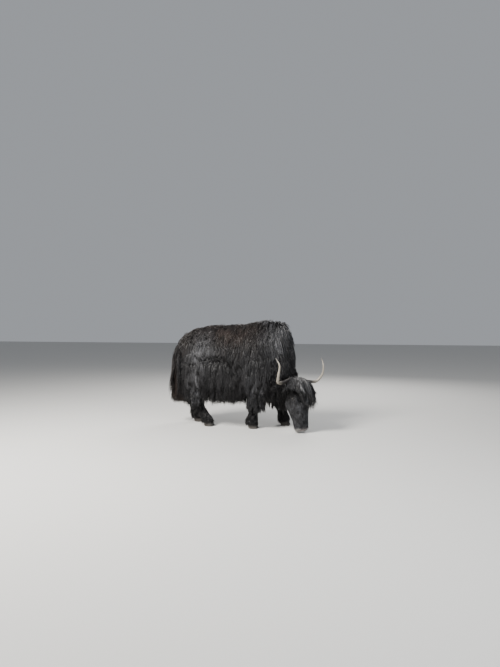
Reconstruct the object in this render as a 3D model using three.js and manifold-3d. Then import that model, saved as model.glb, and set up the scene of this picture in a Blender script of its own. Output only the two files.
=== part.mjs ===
// A domestic yak at life size: a still model that stands and grazes, with its muzzle just above the floor.
// Every flesh piece has the outline of the long coat, out to the tips of the hair.
// Millimetres, +Z up. The animal faces -Y and its left side is +X. It is described below by three distances:
// forward (towards its nose), left (towards its left side) and up, from a point on the floor under its ribs.
// At the end the whole model is moved so that the origin is under the middle of its box.
import * as THREE from 'three';
import { mergeVertices } from 'three/addons/utils/BufferGeometryUtils.js';
import Module from 'manifold-3d';

const wasm = await Module();
wasm.setup();

// Driving dimensions.
const GAP = 0.4;
const BEYOND = 3000;

// The trunk from tail head to breast: the back line, the widest level, the hem of the coat and half the width.
const TRUNK = {
  tailHead: { forward: -735, top: 1000, widest: 850, hem: 640, half: 80, ridge: 2 },
  pinBones: { forward: -685, top: 1090, widest: 830, hem: 470, half: 185, ridge: 2 },
  hips: { forward: -545, top: 1182, widest: 810, hem: 345, half: 268, ridge: 2 },
  loin: { forward: -320, top: 1228, widest: 790, hem: 290, half: 302, ridge: 2 },
  belly: { forward: -50, top: 1236, widest: 780, hem: 278, half: 316, ridge: 2 },
  ribs: { forward: 180, top: 1256, widest: 780, hem: 284, half: 310, ridge: 1.9 },
  withers: { forward: 330, top: 1290, widest: 790, hem: 292, half: 290, ridge: 1.75 },
  hump: { forward: 440, top: 1300, widest: 800, hem: 302, half: 264, ridge: 1.7 },
  humpFront: { forward: 545, top: 1290, widest: 820, hem: 318, half: 220, ridge: 1.8 },
  breast: { forward: 632, top: 1258, widest: 850, hem: 352, half: 160, ridge: 2 },
  breastEnd: { forward: 700, top: 1140, widest: 880, hem: 560, half: 70, ridge: 2 },
};
const SKIRT_POWER = 3.2;

// The open space under the belly, between the two hanging sides of the skirt.
const BELLY_HOLLOW = { forward: -40, up: 240, halfLength: 400, half: 165, height: 205 };

// The neck from inside the chest to inside the head. Nape and throat are measured across its centre line.
const NECK = {
  chest: { forward: 400, left: 0, up: 900, nape: 335, throat: 400, half: 250 },
  base: { forward: 520, left: -10, up: 800, nape: 258, throat: 330, half: 220 },
  middle: { forward: 600, left: -45, up: 690, nape: 162, throat: 260, half: 184 },
  upper: { forward: 665, left: -85, up: 590, nape: 118, throat: 200, half: 154 },
  throatLatch: { forward: 705, left: -115, up: 510, nape: 88, throat: 160, half: 134 },
  end: { forward: 735, left: -140, up: 440, nape: 60, throat: 120, half: 105 },
};
const NECK_UP = new THREE.Vector3(0, -0.73, 0.68);

// The head hangs from the poll, the top of the skull between the horns, and is turned to the animal's right.
const POLL = { forward: 780, left: -178, up: 588 };
const HEAD_TURN = THREE.MathUtils.degToRad(40);
const HEAD_LEAN = THREE.MathUtils.degToRad(10);
const HEAD_TILT = THREE.MathUtils.degToRad(-1.7);
const HEAD = {
  crown: { down: -30, front: 52, back: 62, half: 62 },
  poll: { down: 0, front: 92, back: 112, half: 112 },
  forehead: { down: 90, front: 118, back: 162, half: 134 },
  orbits: { down: 205, front: 110, back: 185, half: 127 },
  cheeks: { down: 280, front: 98, back: 178, half: 116 },
  jaw: { down: 360, front: 84, back: 142, half: 99 },
  noseBridge: { down: 440, front: 73, back: 102, half: 86 },
  nostrils: { down: 515, front: 69, back: 82, half: 84 },
  lips: { down: 556, front: 58, back: 70, half: 77 },
  mouth: { down: 579, front: 34, back: 48, half: 50 },
};
const FORELOCK = {
  parting: { down: -34, front: 70, back: 30, half: 50 },
  crown: { down: 5, front: 146, back: 60, half: 128 },
  fall: { down: 85, front: 206, back: 60, half: 160 },
  bulge: { down: 145, front: 206, back: 50, half: 160 },
  hem: { down: 205, front: 158, back: 40, half: 128 },
  tips: { down: 240, front: 120, back: 30, half: 92 },
};
const EYE = { side: 108, front: 36, down: 214, radius: 20 };
const NOSTRIL = { side: 44, front: 58, down: 532, radius: 13 };

// A horn's centre line from inside the skull to its tip, for the left side, and how its radius falls off.
const HORN_LINE = {
  root: { side: 62, front: -44, up: 14 },
  base: { side: 120, front: -32, up: -4 },
  out: { side: 187, front: -12, up: -17 },
  turn: { side: 285, front: 15, up: -18 },
  rise: { side: 328, front: 84, up: 54 },
  upper: { side: 327, front: 118, up: 160 },
  tip: { side: 342, front: 78, up: 251 },
};
const HORN_ROOT_RADIUS = 27;
const HORN_TIP_RADIUS = 3;
const HORN_TAPER = 1.25;

// An ear, level and a little drooping, from its root to its tip.
const EAR = {
  root: { side: 96, front: -62, up: -86, half: 26, thick: 22 },
  cup: { side: 150, front: -80, up: -82, half: 44, thick: 17 },
  blade: { side: 212, front: -102, up: -74, half: 43, thick: 13 },
  fringe: { side: 262, front: -120, up: -74, half: 27, thick: 9 },
  tip: { side: 290, front: -130, up: -80, half: 7, thick: 4 },
};

// Legs: where each joint and hoof stands.
const FORE_LEGS = {
  right: { shoulder: [345, -165], elbow: [312, -168], knee: [287, -152], hoof: [250, -140] },
  left: { shoulder: [365, 165], elbow: [398, 168], knee: [520, 158], hoof: [580, 150] },
};
const HIND_LEGS = {
  right: { hip: [-455, -165], stifle: [-440, -178], hock: [-488, -150], hoof: [-310, -130] },
  left: { hip: [-480, 165], stifle: [-520, 176], hock: [-655, 146], hoof: [-540, 130] },
};
const KNEE_CUT = 262;
const FETLOCK_HEIGHT = 112;
const CORONET = { front: 72, back: 34, lean: 0.24 };

// A cloven hoof: two claws with flat soles, side by side, and two dewclaws behind the fetlock.
const CLAW = { length: 112, half: 25, height: 86, splay: 0.09, spacing: 31, toeLean: 26 };
const DEWCLAW = { foreBack: 92, hindBack: 100, side: 25, up: 84, radius: 12, height: 22 };

// The tail: a short dock from the rump and a long bushy switch.
const TAIL = {
  root: { forward: -625, up: 1120, along: 40, half: 42 },
  dock: { forward: -705, up: 1035, along: 50, half: 58 },
  dockEnd: { forward: -748, up: 900, along: 62, half: 78 },
  switch: { forward: -782, up: 700, along: 76, half: 104 },
  brush: { forward: -790, up: 500, along: 78, half: 112 },
  ends: { forward: -778, up: 350, along: 62, half: 84 },
  tips: { forward: -768, up: 276, along: 30, half: 40 },
};
const TAIL_CUT = 900;

// The region that counts as an upper leg reaches past the flank and is eased out around the leg's own levels.
const LEG_REGION = { inner: 44, outer: 520, ease: 26, rise: 75, topReach: 46, belowKneeCut: 30 };

// How finely each loft is divided: points around a ring, and rings along it.
const FINENESS = {
  trunk: { around: 26, rings: 15 },
  neck: { around: 22, rings: 8 },
  skull: { around: 20, rings: 13 },
  forelock: { around: 16, rings: 6 },
  horn: { around: 9, rings: 15 },
  ear: { around: 12, rings: 6 },
  leg: { around: 14 },
  region: { around: 12, rings: 7 },
};

const COAT_BLACK = 0x1d1a1a;
const COAT_BROWN = 0x2e2421;
const HORN_GREY = 0xb9b2a4;
const HOOF_DARK = 0x2a2624;
const EYE_DARK = 0x120d0b;

const left = new THREE.Vector3(1, 0, 0);
const up = new THREE.Vector3(0, 0, 1);
const forward = new THREE.Vector3(0, -1, 0);

function at(alongBody, toLeft, height) {
  return new THREE.Vector3(toLeft, -alongBody, height);
}

// Axes of the head: side to its left, front out of the forehead and up out of its crown.
const headTurn = new THREE.Matrix4().makeRotationAxis(up, -HEAD_TURN);
const headSide = left.clone().applyMatrix4(headTurn);
const headLean = new THREE.Matrix4().makeRotationAxis(headSide, -HEAD_LEAN);
const headFront = forward.clone().applyMatrix4(headTurn).applyMatrix4(headLean);
const headTilt = new THREE.Matrix4().makeRotationAxis(headFront, HEAD_TILT);
headSide.applyMatrix4(headTilt);
const headUp = new THREE.Vector3().crossVectors(headFront, headSide);

function inHead(side, front, rise) {
  return at(POLL.forward, POLL.left, POLL.up)
    .addScaledVector(headSide, side)
    .addScaledVector(headFront, front)
    .addScaledVector(headUp, rise);
}

// A closed three.js geometry as a solid, and back.
function solid(geometry) {
  const bare = geometry.clone();
  bare.deleteAttribute('normal');
  bare.deleteAttribute('uv');
  const merged = mergeVertices(bare, 1e-3);
  return new wasm.Manifold(new wasm.Mesh({
    numProp: 3,
    vertProperties: new Float32Array(merged.attributes.position.array),
    triVerts: new Uint32Array(merged.index.array),
  }));
}

function shell(manifold) {
  const mesh = manifold.getMesh();
  const geometry = new THREE.BufferGeometry();
  geometry.setAttribute('position', new THREE.BufferAttribute(mesh.vertProperties, 3));
  geometry.setIndex(new THREE.BufferAttribute(mesh.triVerts, 1));
  return geometry;
}

// A smooth value between named stations: each key of the stations runs along its own curve.
function along(stations, t, keyX, keyY, keyZ) {
  const points = stations.map((s) => new THREE.Vector3(s[keyX], s[keyY], s[keyZ]));
  return new THREE.CatmullRomCurve3(points, false, 'catmullrom', 0.5).getPoint(t);
}

// A superellipse's two coordinates: power 2 is an ellipse, a higher power is squarer.
function squircle(angle, power) {
  const bent = (value) => (Math.abs(value) < 1e-6 ? 0 : Math.sign(value) * Math.abs(value) ** (2 / power));
  return [bent(Math.cos(angle)), bent(Math.sin(angle))];
}

// A loft: a cylinder whose rings are laid by section(t), which gives the ring's centre, its two axes,
// half its width, its reach above and below the centre, and the powers of the upper and lower half.
// grow makes the loft bigger by that much all round, to cut a neighbour with a gap.
function loft(section, around, rings, grow = 0) {
  const geometry = new THREE.CylinderGeometry(1, 1, 1, around, rings);
  const position = geometry.attributes.position;
  const first = section(0);
  const last = section(1);
  const axis = last.centre.clone().sub(first.centre).normalize();
  for (let i = 0; i < position.count; i += 1) {
    const t = THREE.MathUtils.clamp(0.5 - position.getY(i), 0, 1);
    const ring = section(t);
    const radius = Math.min(1, Math.hypot(position.getX(i), position.getZ(i)));
    const angle = Math.atan2(position.getZ(i), position.getX(i));
    const upper = angle > 0;
    const [across, rise] = squircle(angle, upper ? ring.powerAbove : ring.powerBelow);
    const reach = (upper ? ring.above : ring.below) + grow;
    const point = ring.centre.clone()
      .addScaledVector(ring.across, across * (ring.half + grow) * radius)
      .addScaledVector(ring.rise, rise * reach * radius);
    if (t === 0) point.addScaledVector(axis, -grow);
    if (t === 1) point.addScaledVector(axis, grow);
    position.setXYZ(i, point.x, point.y, point.z);
  }
  const made = solid(geometry);
  return made.volume() > 0 ? made : solid(flipped(geometry));
}

function flipped(geometry) {
  const turned = geometry.clone();
  const index = turned.index;
  for (let i = 0; i < index.count; i += 3) {
    const second = index.getX(i + 1);
    index.setX(i + 1, index.getX(i + 2));
    index.setX(i + 2, second);
  }
  return turned;
}

// Everything on the side of a plane that its normal points to, as a very large box.
function beyond(point, normal) {
  const box = new THREE.BoxGeometry(BEYOND, BEYOND, BEYOND);
  const turn = new THREE.Quaternion().setFromUnitVectors(up, normal.clone().normalize());
  const middle = point.clone().addScaledVector(normal.clone().normalize(), BEYOND / 2);
  box.applyMatrix4(new THREE.Matrix4().compose(middle, turn, new THREE.Vector3(1, 1, 1)));
  return solid(box);
}

// A thin cut through a solid: the part the normal points to, and the rest.
function parted(whole, point, normal) {
  const unit = normal.clone().normalize();
  const ahead = point.clone().addScaledVector(unit, GAP / 2);
  const behind = point.clone().addScaledVector(unit, -GAP / 2);
  const away = unit.clone().negate();
  return [whole.subtract(beyond(ahead, away)), whole.subtract(beyond(behind, unit))];
}

function trunkLoft(grow = 0) {
  const stations = Object.values(TRUNK);
  const section = (t) => {
    const line = along(stations, t, 'forward', 'top', 'hem');
    const shape = along(stations, t, 'widest', 'half', 'ridge');
    return {
      centre: at(line.x, 0, shape.x),
      across: left,
      rise: up,
      half: shape.y,
      above: line.y - shape.x,
      below: shape.x - line.z,
      powerAbove: shape.z,
      powerBelow: SKIRT_POWER,
    };
  };
  return loft(section, FINENESS.trunk.around, FINENESS.trunk.rings, grow);
}

function bellyHollow() {
  const geometry = new THREE.SphereGeometry(1, 14, 8);
  geometry.scale(BELLY_HOLLOW.half, BELLY_HOLLOW.halfLength, BELLY_HOLLOW.height);
  geometry.translate(...at(BELLY_HOLLOW.forward, 0, BELLY_HOLLOW.up));
  return solid(geometry);
}

function neckLoft(grow = 0) {
  const stations = Object.values(NECK);
  const section = (t) => {
    const centre = along(stations, t, 'forward', 'left', 'up');
    const shape = along(stations, t, 'nape', 'throat', 'half');
    return {
      centre: at(centre.x, centre.y, centre.z),
      across: left,
      rise: NECK_UP,
      half: shape.z,
      above: shape.x,
      below: shape.y,
      powerAbove: 2,
      powerBelow: 2.2,
    };
  };
  return loft(section, FINENESS.neck.around, FINENESS.neck.rings, grow);
}

function headLoft(table, powerFront, powerBack, fineness, grow = 0) {
  const stations = Object.values(table);
  const section = (t) => {
    const shape = along(stations, t, 'front', 'back', 'half');
    return {
      centre: inHead(0, 0, -along(stations, t, 'down', 'down', 'down').x),
      across: headSide,
      rise: headFront,
      half: shape.z,
      above: shape.x,
      below: shape.y,
      powerAbove: powerFront,
      powerBelow: powerBack,
    };
  };
  return loft(section, fineness.around, fineness.rings, grow);
}

const skullLoft = (grow) => headLoft(HEAD, 2.5, 1.9, FINENESS.skull, grow);
const forelockLoft = (grow) => headLoft(FORELOCK, 2.1, 2, FINENESS.forelock, grow);

function hornLoft(side, grow = 0) {
  const stations = Object.values(HORN_LINE);
  const centreAt = (t) => {
    const p = along(stations, t, 'side', 'front', 'up');
    return inHead(side * p.x, p.y, p.z);
  };
  const section = (t) => {
    const centre = centreAt(t);
    const direction = centreAt(Math.min(1, t + 0.01)).sub(centreAt(Math.max(0, t - 0.01))).normalize();
    const across = new THREE.Vector3().crossVectors(direction, headFront).normalize();
    const radius = HORN_TIP_RADIUS + (HORN_ROOT_RADIUS - HORN_TIP_RADIUS) * (1 - t ** HORN_TAPER);
    return {
      centre,
      across,
      rise: new THREE.Vector3().crossVectors(across, direction),
      half: radius,
      above: radius,
      below: radius,
      powerAbove: 2,
      powerBelow: 2,
    };
  };
  return loft(section, FINENESS.horn.around, FINENESS.horn.rings, grow);
}

function earLoft(side) {
  const stations = Object.values(EAR);
  const section = (t) => {
    const p = along(stations, t, 'side', 'front', 'up');
    const shape = along(stations, t, 'half', 'thick', 'thick');
    return {
      centre: inHead(side * p.x, p.y, p.z),
      across: headUp,
      rise: headFront,
      half: shape.x,
      above: shape.y,
      below: shape.y,
      powerAbove: 2,
      powerBelow: 2,
    };
  };
  return loft(section, FINENESS.ear.around, FINENESS.ear.rings);
}

function eyeBall(side, grow = 0) {
  const geometry = new THREE.SphereGeometry(EYE.radius + grow, 10, 7);
  const place = inHead(side * EYE.side, EYE.front, -EYE.down);
  geometry.translate(place.x, place.y, place.z);
  return solid(geometry);
}

function nostril(side) {
  const geometry = new THREE.SphereGeometry(NOSTRIL.radius, 7, 5);
  geometry.scale(1, 1, 1.35);
  const place = inHead(side * NOSTRIL.side, NOSTRIL.front, -NOSTRIL.down);
  geometry.translate(place.x, place.y, place.z);
  return solid(geometry);
}

// A leg's level sections: place and height, reach to the front and to the back, and half the width.
function legLoft(stations, rings, grow = 0) {
  const section = (t) => {
    const centre = along(stations, t, 'forward', 'left', 'up');
    const shape = along(stations, t, 'front', 'back', 'half');
    return {
      centre: at(centre.x, centre.y, centre.z),
      across: left,
      rise: forward,
      half: shape.z,
      above: shape.x,
      below: shape.y,
      powerAbove: 2.1,
      powerBelow: 2.1,
    };
  };
  return loft(section, FINENESS.leg.around, rings, grow);
}

function between(from, to, share) {
  return [0, 1].map((i) => THREE.MathUtils.lerp(from[i], to[i], share));
}

function level(place, height, front, back, half) {
  return { forward: place[0], left: place[1], up: height, front, back, half };
}

// The feathered fetlock and the pastern are alike on all four legs.
function footLevels(joint, hoof, lean) {
  const fetlock = [hoof[0] - lean, hoof[1]];
  return [
    level(between(joint, fetlock, 0.58), 205, 54, 62, 56),
    level(fetlock, FETLOCK_HEIGHT, 58, 90, 66),
    level([hoof[0] - 6, hoof[1]], 58, 62, 92, 66),
    level([hoof[0], hoof[1]], 20, 56, 84, 60),
  ];
}

function foreLegLevels({ shoulder, elbow, knee, hoof }) {
  return [
    level(shoulder, 840, 110, 120, 90),
    level(elbow, 600, 118, 124, 96),
    level(between(elbow, knee, 0.6), 450, 90, 94, 80),
    level(knee, 335, 70, 72, 67),
    ...footLevels(knee, hoof, 8),
  ];
}

function hindLegLevels({ hip, stifle, hock, hoof }) {
  return [
    level(hip, 900, 150, 140, 96),
    level(stifle, 690, 172, 168, 112),
    level(between(stifle, hock, 0.55), 520, 120, 118, 92),
    level(hock, 385, 76, 84, 70),
    ...footLevels(hock, hoof, 26),
  ];
}

// The region that counts as an upper leg: the leg's own levels, widened and carried out past the flank.
function legRegion(levels, grow = 0) {
  const side = Math.sign(levels[0].left);
  const stations = levels.slice(0, 4).map((s) => ({
    ...s,
    left: side * (LEG_REGION.inner + LEG_REGION.outer) / 2,
    front: s.front + LEG_REGION.ease,
    back: s.back + LEG_REGION.ease,
    half: (LEG_REGION.outer - LEG_REGION.inner) / 2,
  }));
  const top = {
    ...stations[0],
    up: stations[0].up + LEG_REGION.rise,
    front: LEG_REGION.topReach,
    back: LEG_REGION.topReach,
  };
  const bottom = { ...stations[3], up: KNEE_CUT - LEG_REGION.belowKneeCut };
  const levelsOfRegion = [top, ...stations, bottom];
  const section = (t) => {
    const centre = along(levelsOfRegion, t, 'forward', 'left', 'up');
    const shape = along(levelsOfRegion, t, 'front', 'back', 'half');
    return {
      centre: at(centre.x, centre.y, centre.z),
      across: left,
      rise: forward,
      half: shape.z,
      above: shape.x,
      below: shape.y,
      powerAbove: 8,
      powerBelow: 8,
    };
  };
  return loft(section, FINENESS.region.around, FINENESS.region.rings, grow);
}

// One claw: a level D that is blunt behind, pointed in front and leans back as it rises.
function claw(hoof, side, grow = 0) {
  const rings = [
    { up: -grow, share: 1, shift: 0 },
    { up: CLAW.height * 0.5, share: 0.93, shift: -0.4 },
    { up: CLAW.height, share: 0.8, shift: -1 },
  ];
  const turn = new THREE.Matrix4().makeRotationZ(side * CLAW.splay);
  const section = (t) => {
    const shape = along(rings, t, 'up', 'share', 'shift');
    const spot = at(shape.z * CLAW.toeLean, 0, 0).applyMatrix4(turn);
    return {
      centre: at(hoof[0], hoof[1] + side * CLAW.spacing, shape.x).add(spot),
      across: left.clone().applyMatrix4(turn),
      rise: forward.clone().applyMatrix4(turn),
      half: CLAW.half * shape.y,
      above: CLAW.length * 0.56 * shape.y,
      below: CLAW.length * 0.44 * shape.y,
      powerAbove: 1.7,
      powerBelow: 2.4,
    };
  };
  return loft(section, 14, 2, grow);
}

function dewclaw(hoof, side, back, grow = 0) {
  const geometry = new THREE.SphereGeometry(DEWCLAW.radius + grow, 6, 4);
  geometry.scale(1, 1.1, DEWCLAW.height / DEWCLAW.radius / 1.2);
  const place = at(hoof[0] - back, hoof[1] + side * DEWCLAW.side, DEWCLAW.up);
  geometry.translate(place.x, place.y, place.z);
  return solid(geometry);
}

function tailLoft() {
  const stations = Object.values(TAIL);
  const section = (t) => {
    const centre = along(stations, t, 'forward', 'up', 'up');
    const shape = along(stations, t, 'along', 'half', 'half');
    return {
      centre: at(centre.x, 0, centre.y),
      across: left,
      rise: forward,
      half: shape.y,
      above: shape.x,
      below: shape.x,
      powerAbove: 2,
      powerBelow: 2,
    };
  };
  return loft(section, 14, 10);
}

const yak = new THREE.Group();

function add(name, manifold, color, roughness = 0.85) {
  const material = new THREE.MeshStandardMaterial({ color, roughness, metalness: 0 });
  const mesh = new THREE.Mesh(shell(manifold), material);
  mesh.name = name;
  yak.add(mesh);
}

// Head and neck: the skull with its forelock, parted from the neck behind the poll and the jaw.
const headWhole = skullLoft(0).add(forelockLoft(0));
const nape = inHead(0, -104, 6);
const jawAngle = inHead(0, -172, -262);
const facing = new THREE.Vector3().crossVectors(headSide, nape.clone().sub(jawAngle)).normalize();
const [headFore, headRear] = parted(headWhole, nape, facing);
const neckOnly = parted(neckLoft(), nape, facing)[1];

// Trunk and neck: one body, parted in front of the hump.
const torso = trunkLoft().subtract(bellyHollow()).add(neckOnly.add(headRear));
const breastCut = at(575, 0, 1290);
const breastFoot = at(468, 0, 310);
const breastNormal = new THREE.Vector3().crossVectors(left, breastCut.clone().sub(breastFoot)).normalize();
const [neckFore, trunkRear] = parted(torso, breastCut, breastNormal);

const legs = {
  fore_right: foreLegLevels(FORE_LEGS.right),
  fore_left: foreLegLevels(FORE_LEGS.left),
  hind_right: hindLegLevels(HIND_LEGS.right),
  hind_left: hindLegLevels(HIND_LEGS.left),
};
const hoofSpots = {
  fore_right: FORE_LEGS.right.hoof,
  fore_left: FORE_LEGS.left.hoof,
  hind_right: HIND_LEGS.right.hoof,
  hind_left: HIND_LEGS.left.hoof,
};
const upperNames = { fore: 'shoulder', hind: 'thigh' };
const LEG_RINGS = 10;

let trunk = trunkRear;
let neck = neckFore;
const kneeCut = at(0, 0, KNEE_CUT);
for (const [name, levels] of Object.entries(legs)) {
  const leg = legLoft(levels, LEG_RINGS);
  const whole = trunkRear.add(leg);
  const upper = parted(whole.intersect(legRegion(levels)), kneeCut, up)[0];
  trunk = trunk.subtract(legRegion(levels, GAP));
  neck = neck.subtract(legLoft(levels, LEG_RINGS, GAP));
  add(`${name}_${upperNames[name.slice(0, 4)]}`, upper, COAT_BLACK);

  const hoof = hoofSpots[name];
  const slope = new THREE.Vector3(0, CORONET.lean, 1);
  const coronet = at(hoof[0], hoof[1], (CORONET.front + CORONET.back) / 2);
  let shank = parted(leg, kneeCut, up)[1];
  shank = parted(shank, coronet, slope)[0];
  for (const [clawName, side] of [['claw_a', 1], ['claw_b', -1]]) {
    add(`${name}_${clawName}`, parted(claw(hoof, side), coronet, slope)[1], HOOF_DARK, 0.6);
    const back = name.startsWith('fore') ? DEWCLAW.foreBack : DEWCLAW.hindBack;
    shank = shank.subtract(dewclaw(hoof, side, back, GAP));
    add(`${name}_dew${clawName}`, dewclaw(hoof, side, back), HOOF_DARK, 0.6);
  }
  add(`${name}_shank`, shank, COAT_BLACK);
}
add('trunk', trunk, COAT_BROWN);

// The tail hangs against the rump and the backs of the thighs, and is parted at the end of its dock.
let tail = tailLoft().subtract(trunkLoft(GAP));
for (const name of ['hind_right', 'hind_left']) {
  tail = tail.subtract(legLoft(legs[name], LEG_RINGS, GAP));
}
const [dock, tailSwitch] = parted(tail, at(0, 0, TAIL_CUT), up);
add('tail_dock', dock, COAT_BROWN);
add('tail_switch', tailSwitch, COAT_BROWN);

// Horns, ears and eyes are let into the head.
let head = headFore;
for (const [sideName, side] of [['left', 1], ['right', -1]]) {
  const hornRoom = hornLoft(side, GAP);
  head = head.subtract(hornRoom).subtract(eyeBall(side, GAP)).subtract(nostril(side));
  neck = neck.subtract(hornRoom);
  add(`horn_${sideName}`, hornLoft(side), HORN_GREY, 0.45);
  add(`eye_${sideName}`, eyeBall(side), EYE_DARK, 0.15);
  let ear = earLoft(side).subtract(skullLoft(GAP)).subtract(forelockLoft(GAP));
  ear = ear.subtract(neckLoft(GAP)).subtract(hornRoom);
  add(`ear_${sideName}`, ear, COAT_BLACK);
}
add('neck', neck, COAT_BLACK);
add('head', head, COAT_BLACK);

// The origin goes to the floor under the middle of the whole model's box.
const bounds = new THREE.Box3().setFromObject(yak);
const middle = bounds.getCenter(new THREE.Vector3());
yak.position.set(-middle.x, -middle.y, 0);

export default yak;
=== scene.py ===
"""A life-size domestic yak that stands and grazes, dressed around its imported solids.

Metres, +Z up. The animal faces -Y and its left side is +X. Body places are given by how far
forward, how far to its left and how high they are; head places by side, front and up from the poll.
"""

import logging
import math
from dataclasses import dataclass
from enum import Enum
from functools import partial
from typing import Callable, Iterable, Sequence

import bmesh
import bpy
import numpy as np
from mathutils import Matrix, Vector
from mathutils.bvhtree import BVHTree


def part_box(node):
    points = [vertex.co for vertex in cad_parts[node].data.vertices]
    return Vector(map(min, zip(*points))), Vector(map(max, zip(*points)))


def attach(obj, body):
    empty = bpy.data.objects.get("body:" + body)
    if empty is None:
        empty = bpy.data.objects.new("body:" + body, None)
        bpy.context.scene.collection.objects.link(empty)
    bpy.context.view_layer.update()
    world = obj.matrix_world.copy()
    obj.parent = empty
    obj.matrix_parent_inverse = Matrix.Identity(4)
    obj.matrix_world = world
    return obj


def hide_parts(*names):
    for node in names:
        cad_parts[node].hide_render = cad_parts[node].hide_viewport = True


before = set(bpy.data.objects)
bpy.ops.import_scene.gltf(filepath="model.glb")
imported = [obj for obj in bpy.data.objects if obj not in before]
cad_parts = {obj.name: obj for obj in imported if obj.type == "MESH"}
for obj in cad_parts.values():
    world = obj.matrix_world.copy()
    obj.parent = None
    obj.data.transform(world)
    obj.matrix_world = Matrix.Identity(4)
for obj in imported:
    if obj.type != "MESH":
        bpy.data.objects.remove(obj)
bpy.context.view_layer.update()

LOG = logging.getLogger("yak")
ROOT = "root"
BAKE_MAP = "OFBake"
STRAND_MAP = "strands"
HAIR_DATA = "hair"
STREAKS = "long_streaks"

Array = np.ndarray
Color = tuple[float, float, float, float]
Triple = tuple[float, float, float]

# The row's axes as the animal has them.
LEFT = np.array((1.0, 0.0, 0.0))
FORWARD = np.array((0.0, -1.0, 0.0))
UP = np.array((0.0, 0.0, 1.0))

# The middle of the left eye in head places, and the eyeball's radius.
EYE_SIDE = 0.108
EYE_FRONT = 0.036
EYE_DOWN = 0.214
EYE_RADIUS = 0.020


def unit(vectors: Array) -> Array:
    """Return vectors scaled to length one, row by row."""
    size = np.linalg.norm(vectors, axis=-1, keepdims=True)
    return vectors / np.maximum(size, 1e-9)


@dataclass(frozen=True)
class HeadPose:
    """How the head hangs: where its poll is and how it is turned, leaned and tilted, in degrees."""

    forward: float = 0.780
    left: float = -0.178
    up: float = 0.588
    turn: float = 40.0
    lean: float = 10.0
    tilt: float = -1.7

    def axes(self) -> tuple[Array, Array, Array]:
        """Turn, lean and tilt the animal's axes."""
        turn = Matrix.Rotation(math.radians(-self.turn), 3, Vector(UP))
        side = turn @ Vector(LEFT)
        front = Matrix.Rotation(math.radians(-self.lean), 3, side) @ (turn @ Vector(FORWARD))
        side = Matrix.Rotation(math.radians(self.tilt), 3, front) @ side
        return np.array(side), np.array(front), np.array(front.cross(side))


class Places:
    """Turns body places and head places into places in the row's frame, and back."""

    def __init__(self, pose: HeadPose) -> None:
        """Find the frame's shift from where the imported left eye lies.

        Args:
            pose: how the head hangs.
        """
        self.side, self.front, self.crown = pose.axes()
        self.shift = np.zeros(3)
        self.poll = self.body(pose.forward, pose.left, pose.up)
        low, high = (np.array(corner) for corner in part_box("eye_left"))
        eye = self.head(EYE_SIDE, EYE_FRONT, -EYE_DOWN)
        self.shift = (low + high) / 2 - eye
        self.shift[2] = 0.0
        self.poll = self.body(pose.forward, pose.left, pose.up)

    def body(self, forward: float, left: float, up: float) -> Array:
        """Return a body place in the row's frame."""
        return LEFT * left + FORWARD * forward + UP * up + self.shift

    def head(self, side: float, front: float, up: float) -> Array:
        """Return a head place in the row's frame."""
        return self.poll + self.side * side + self.front * front + self.crown * up

    def to_body(self, points: Array) -> Array:
        """Return forward, left and up of points in the row's frame."""
        moved = points - self.shift
        return np.stack((-moved[..., 1], moved[..., 0], moved[..., 2]), axis=-1)

    def to_head(self, points: Array) -> Array:
        """Return side, front and up from the poll of points in the row's frame."""
        moved = points - self.poll
        return np.stack((moved @ self.side, moved @ self.front, moved @ self.crown), axis=-1)


PLACES = Places(HeadPose())


def smooth_between(stations: Array, t: float) -> Array:
    """Return the value at t on a smooth curve through evenly spread stations.

    Args:
        stations: one row for each station.
        t: from 0 at the first station to 1 at the last.

    Returns:
        One row, interpolated.
    """
    last = len(stations) - 1
    place = min(max(t, 0.0), 1.0) * last
    i = min(int(place), last - 1)
    w = place - i
    before = stations[i - 1] if i > 0 else 2 * stations[0] - stations[1]
    after = stations[i + 2] if i + 2 <= last else 2 * stations[last] - stations[last - 1]
    a, b = stations[i], stations[i + 1]
    ta, tb = (b - before) / 2, (after - a) / 2
    w2, w3 = w * w, w * w * w
    return a * (2 * w3 - 3 * w2 + 1) + ta * (w3 - 2 * w2 + w) + b * (3 * w2 - 2 * w3) + tb * (w3 - w2)


@dataclass(frozen=True)
class Ring:
    """One section of a loft: a superellipse with its own reach above and below its centre.

    Attributes:
        centre: its middle.
        across, rise: its two axes.
        half: half its width.
        above, below: its reach along the rise axis and against it.
        power_above, power_below: how square it is there, 2 for an ellipse.
    """

    centre: Array
    across: Array
    rise: Array
    half: float
    above: float
    below: float
    power_above: float = 2.0
    power_below: float = 2.0

    def points(self, count: int) -> Array:
        """Lay the section's outline.

        Args:
            count: how many points it has.

        Returns:
            The points, as rows.
        """
        angle = np.linspace(0, 2 * math.pi, count, endpoint=False)
        cos, sin = np.cos(angle), np.sin(angle)
        bend = 2 / np.where(sin > 0, self.power_above, self.power_below)
        x = np.sign(cos) * np.abs(cos) ** bend * self.half
        y = np.sign(sin) * np.abs(sin) ** bend * np.where(sin > 0, self.above, self.below)
        return self.centre + x[:, None] * self.across + y[:, None] * self.rise


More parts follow.
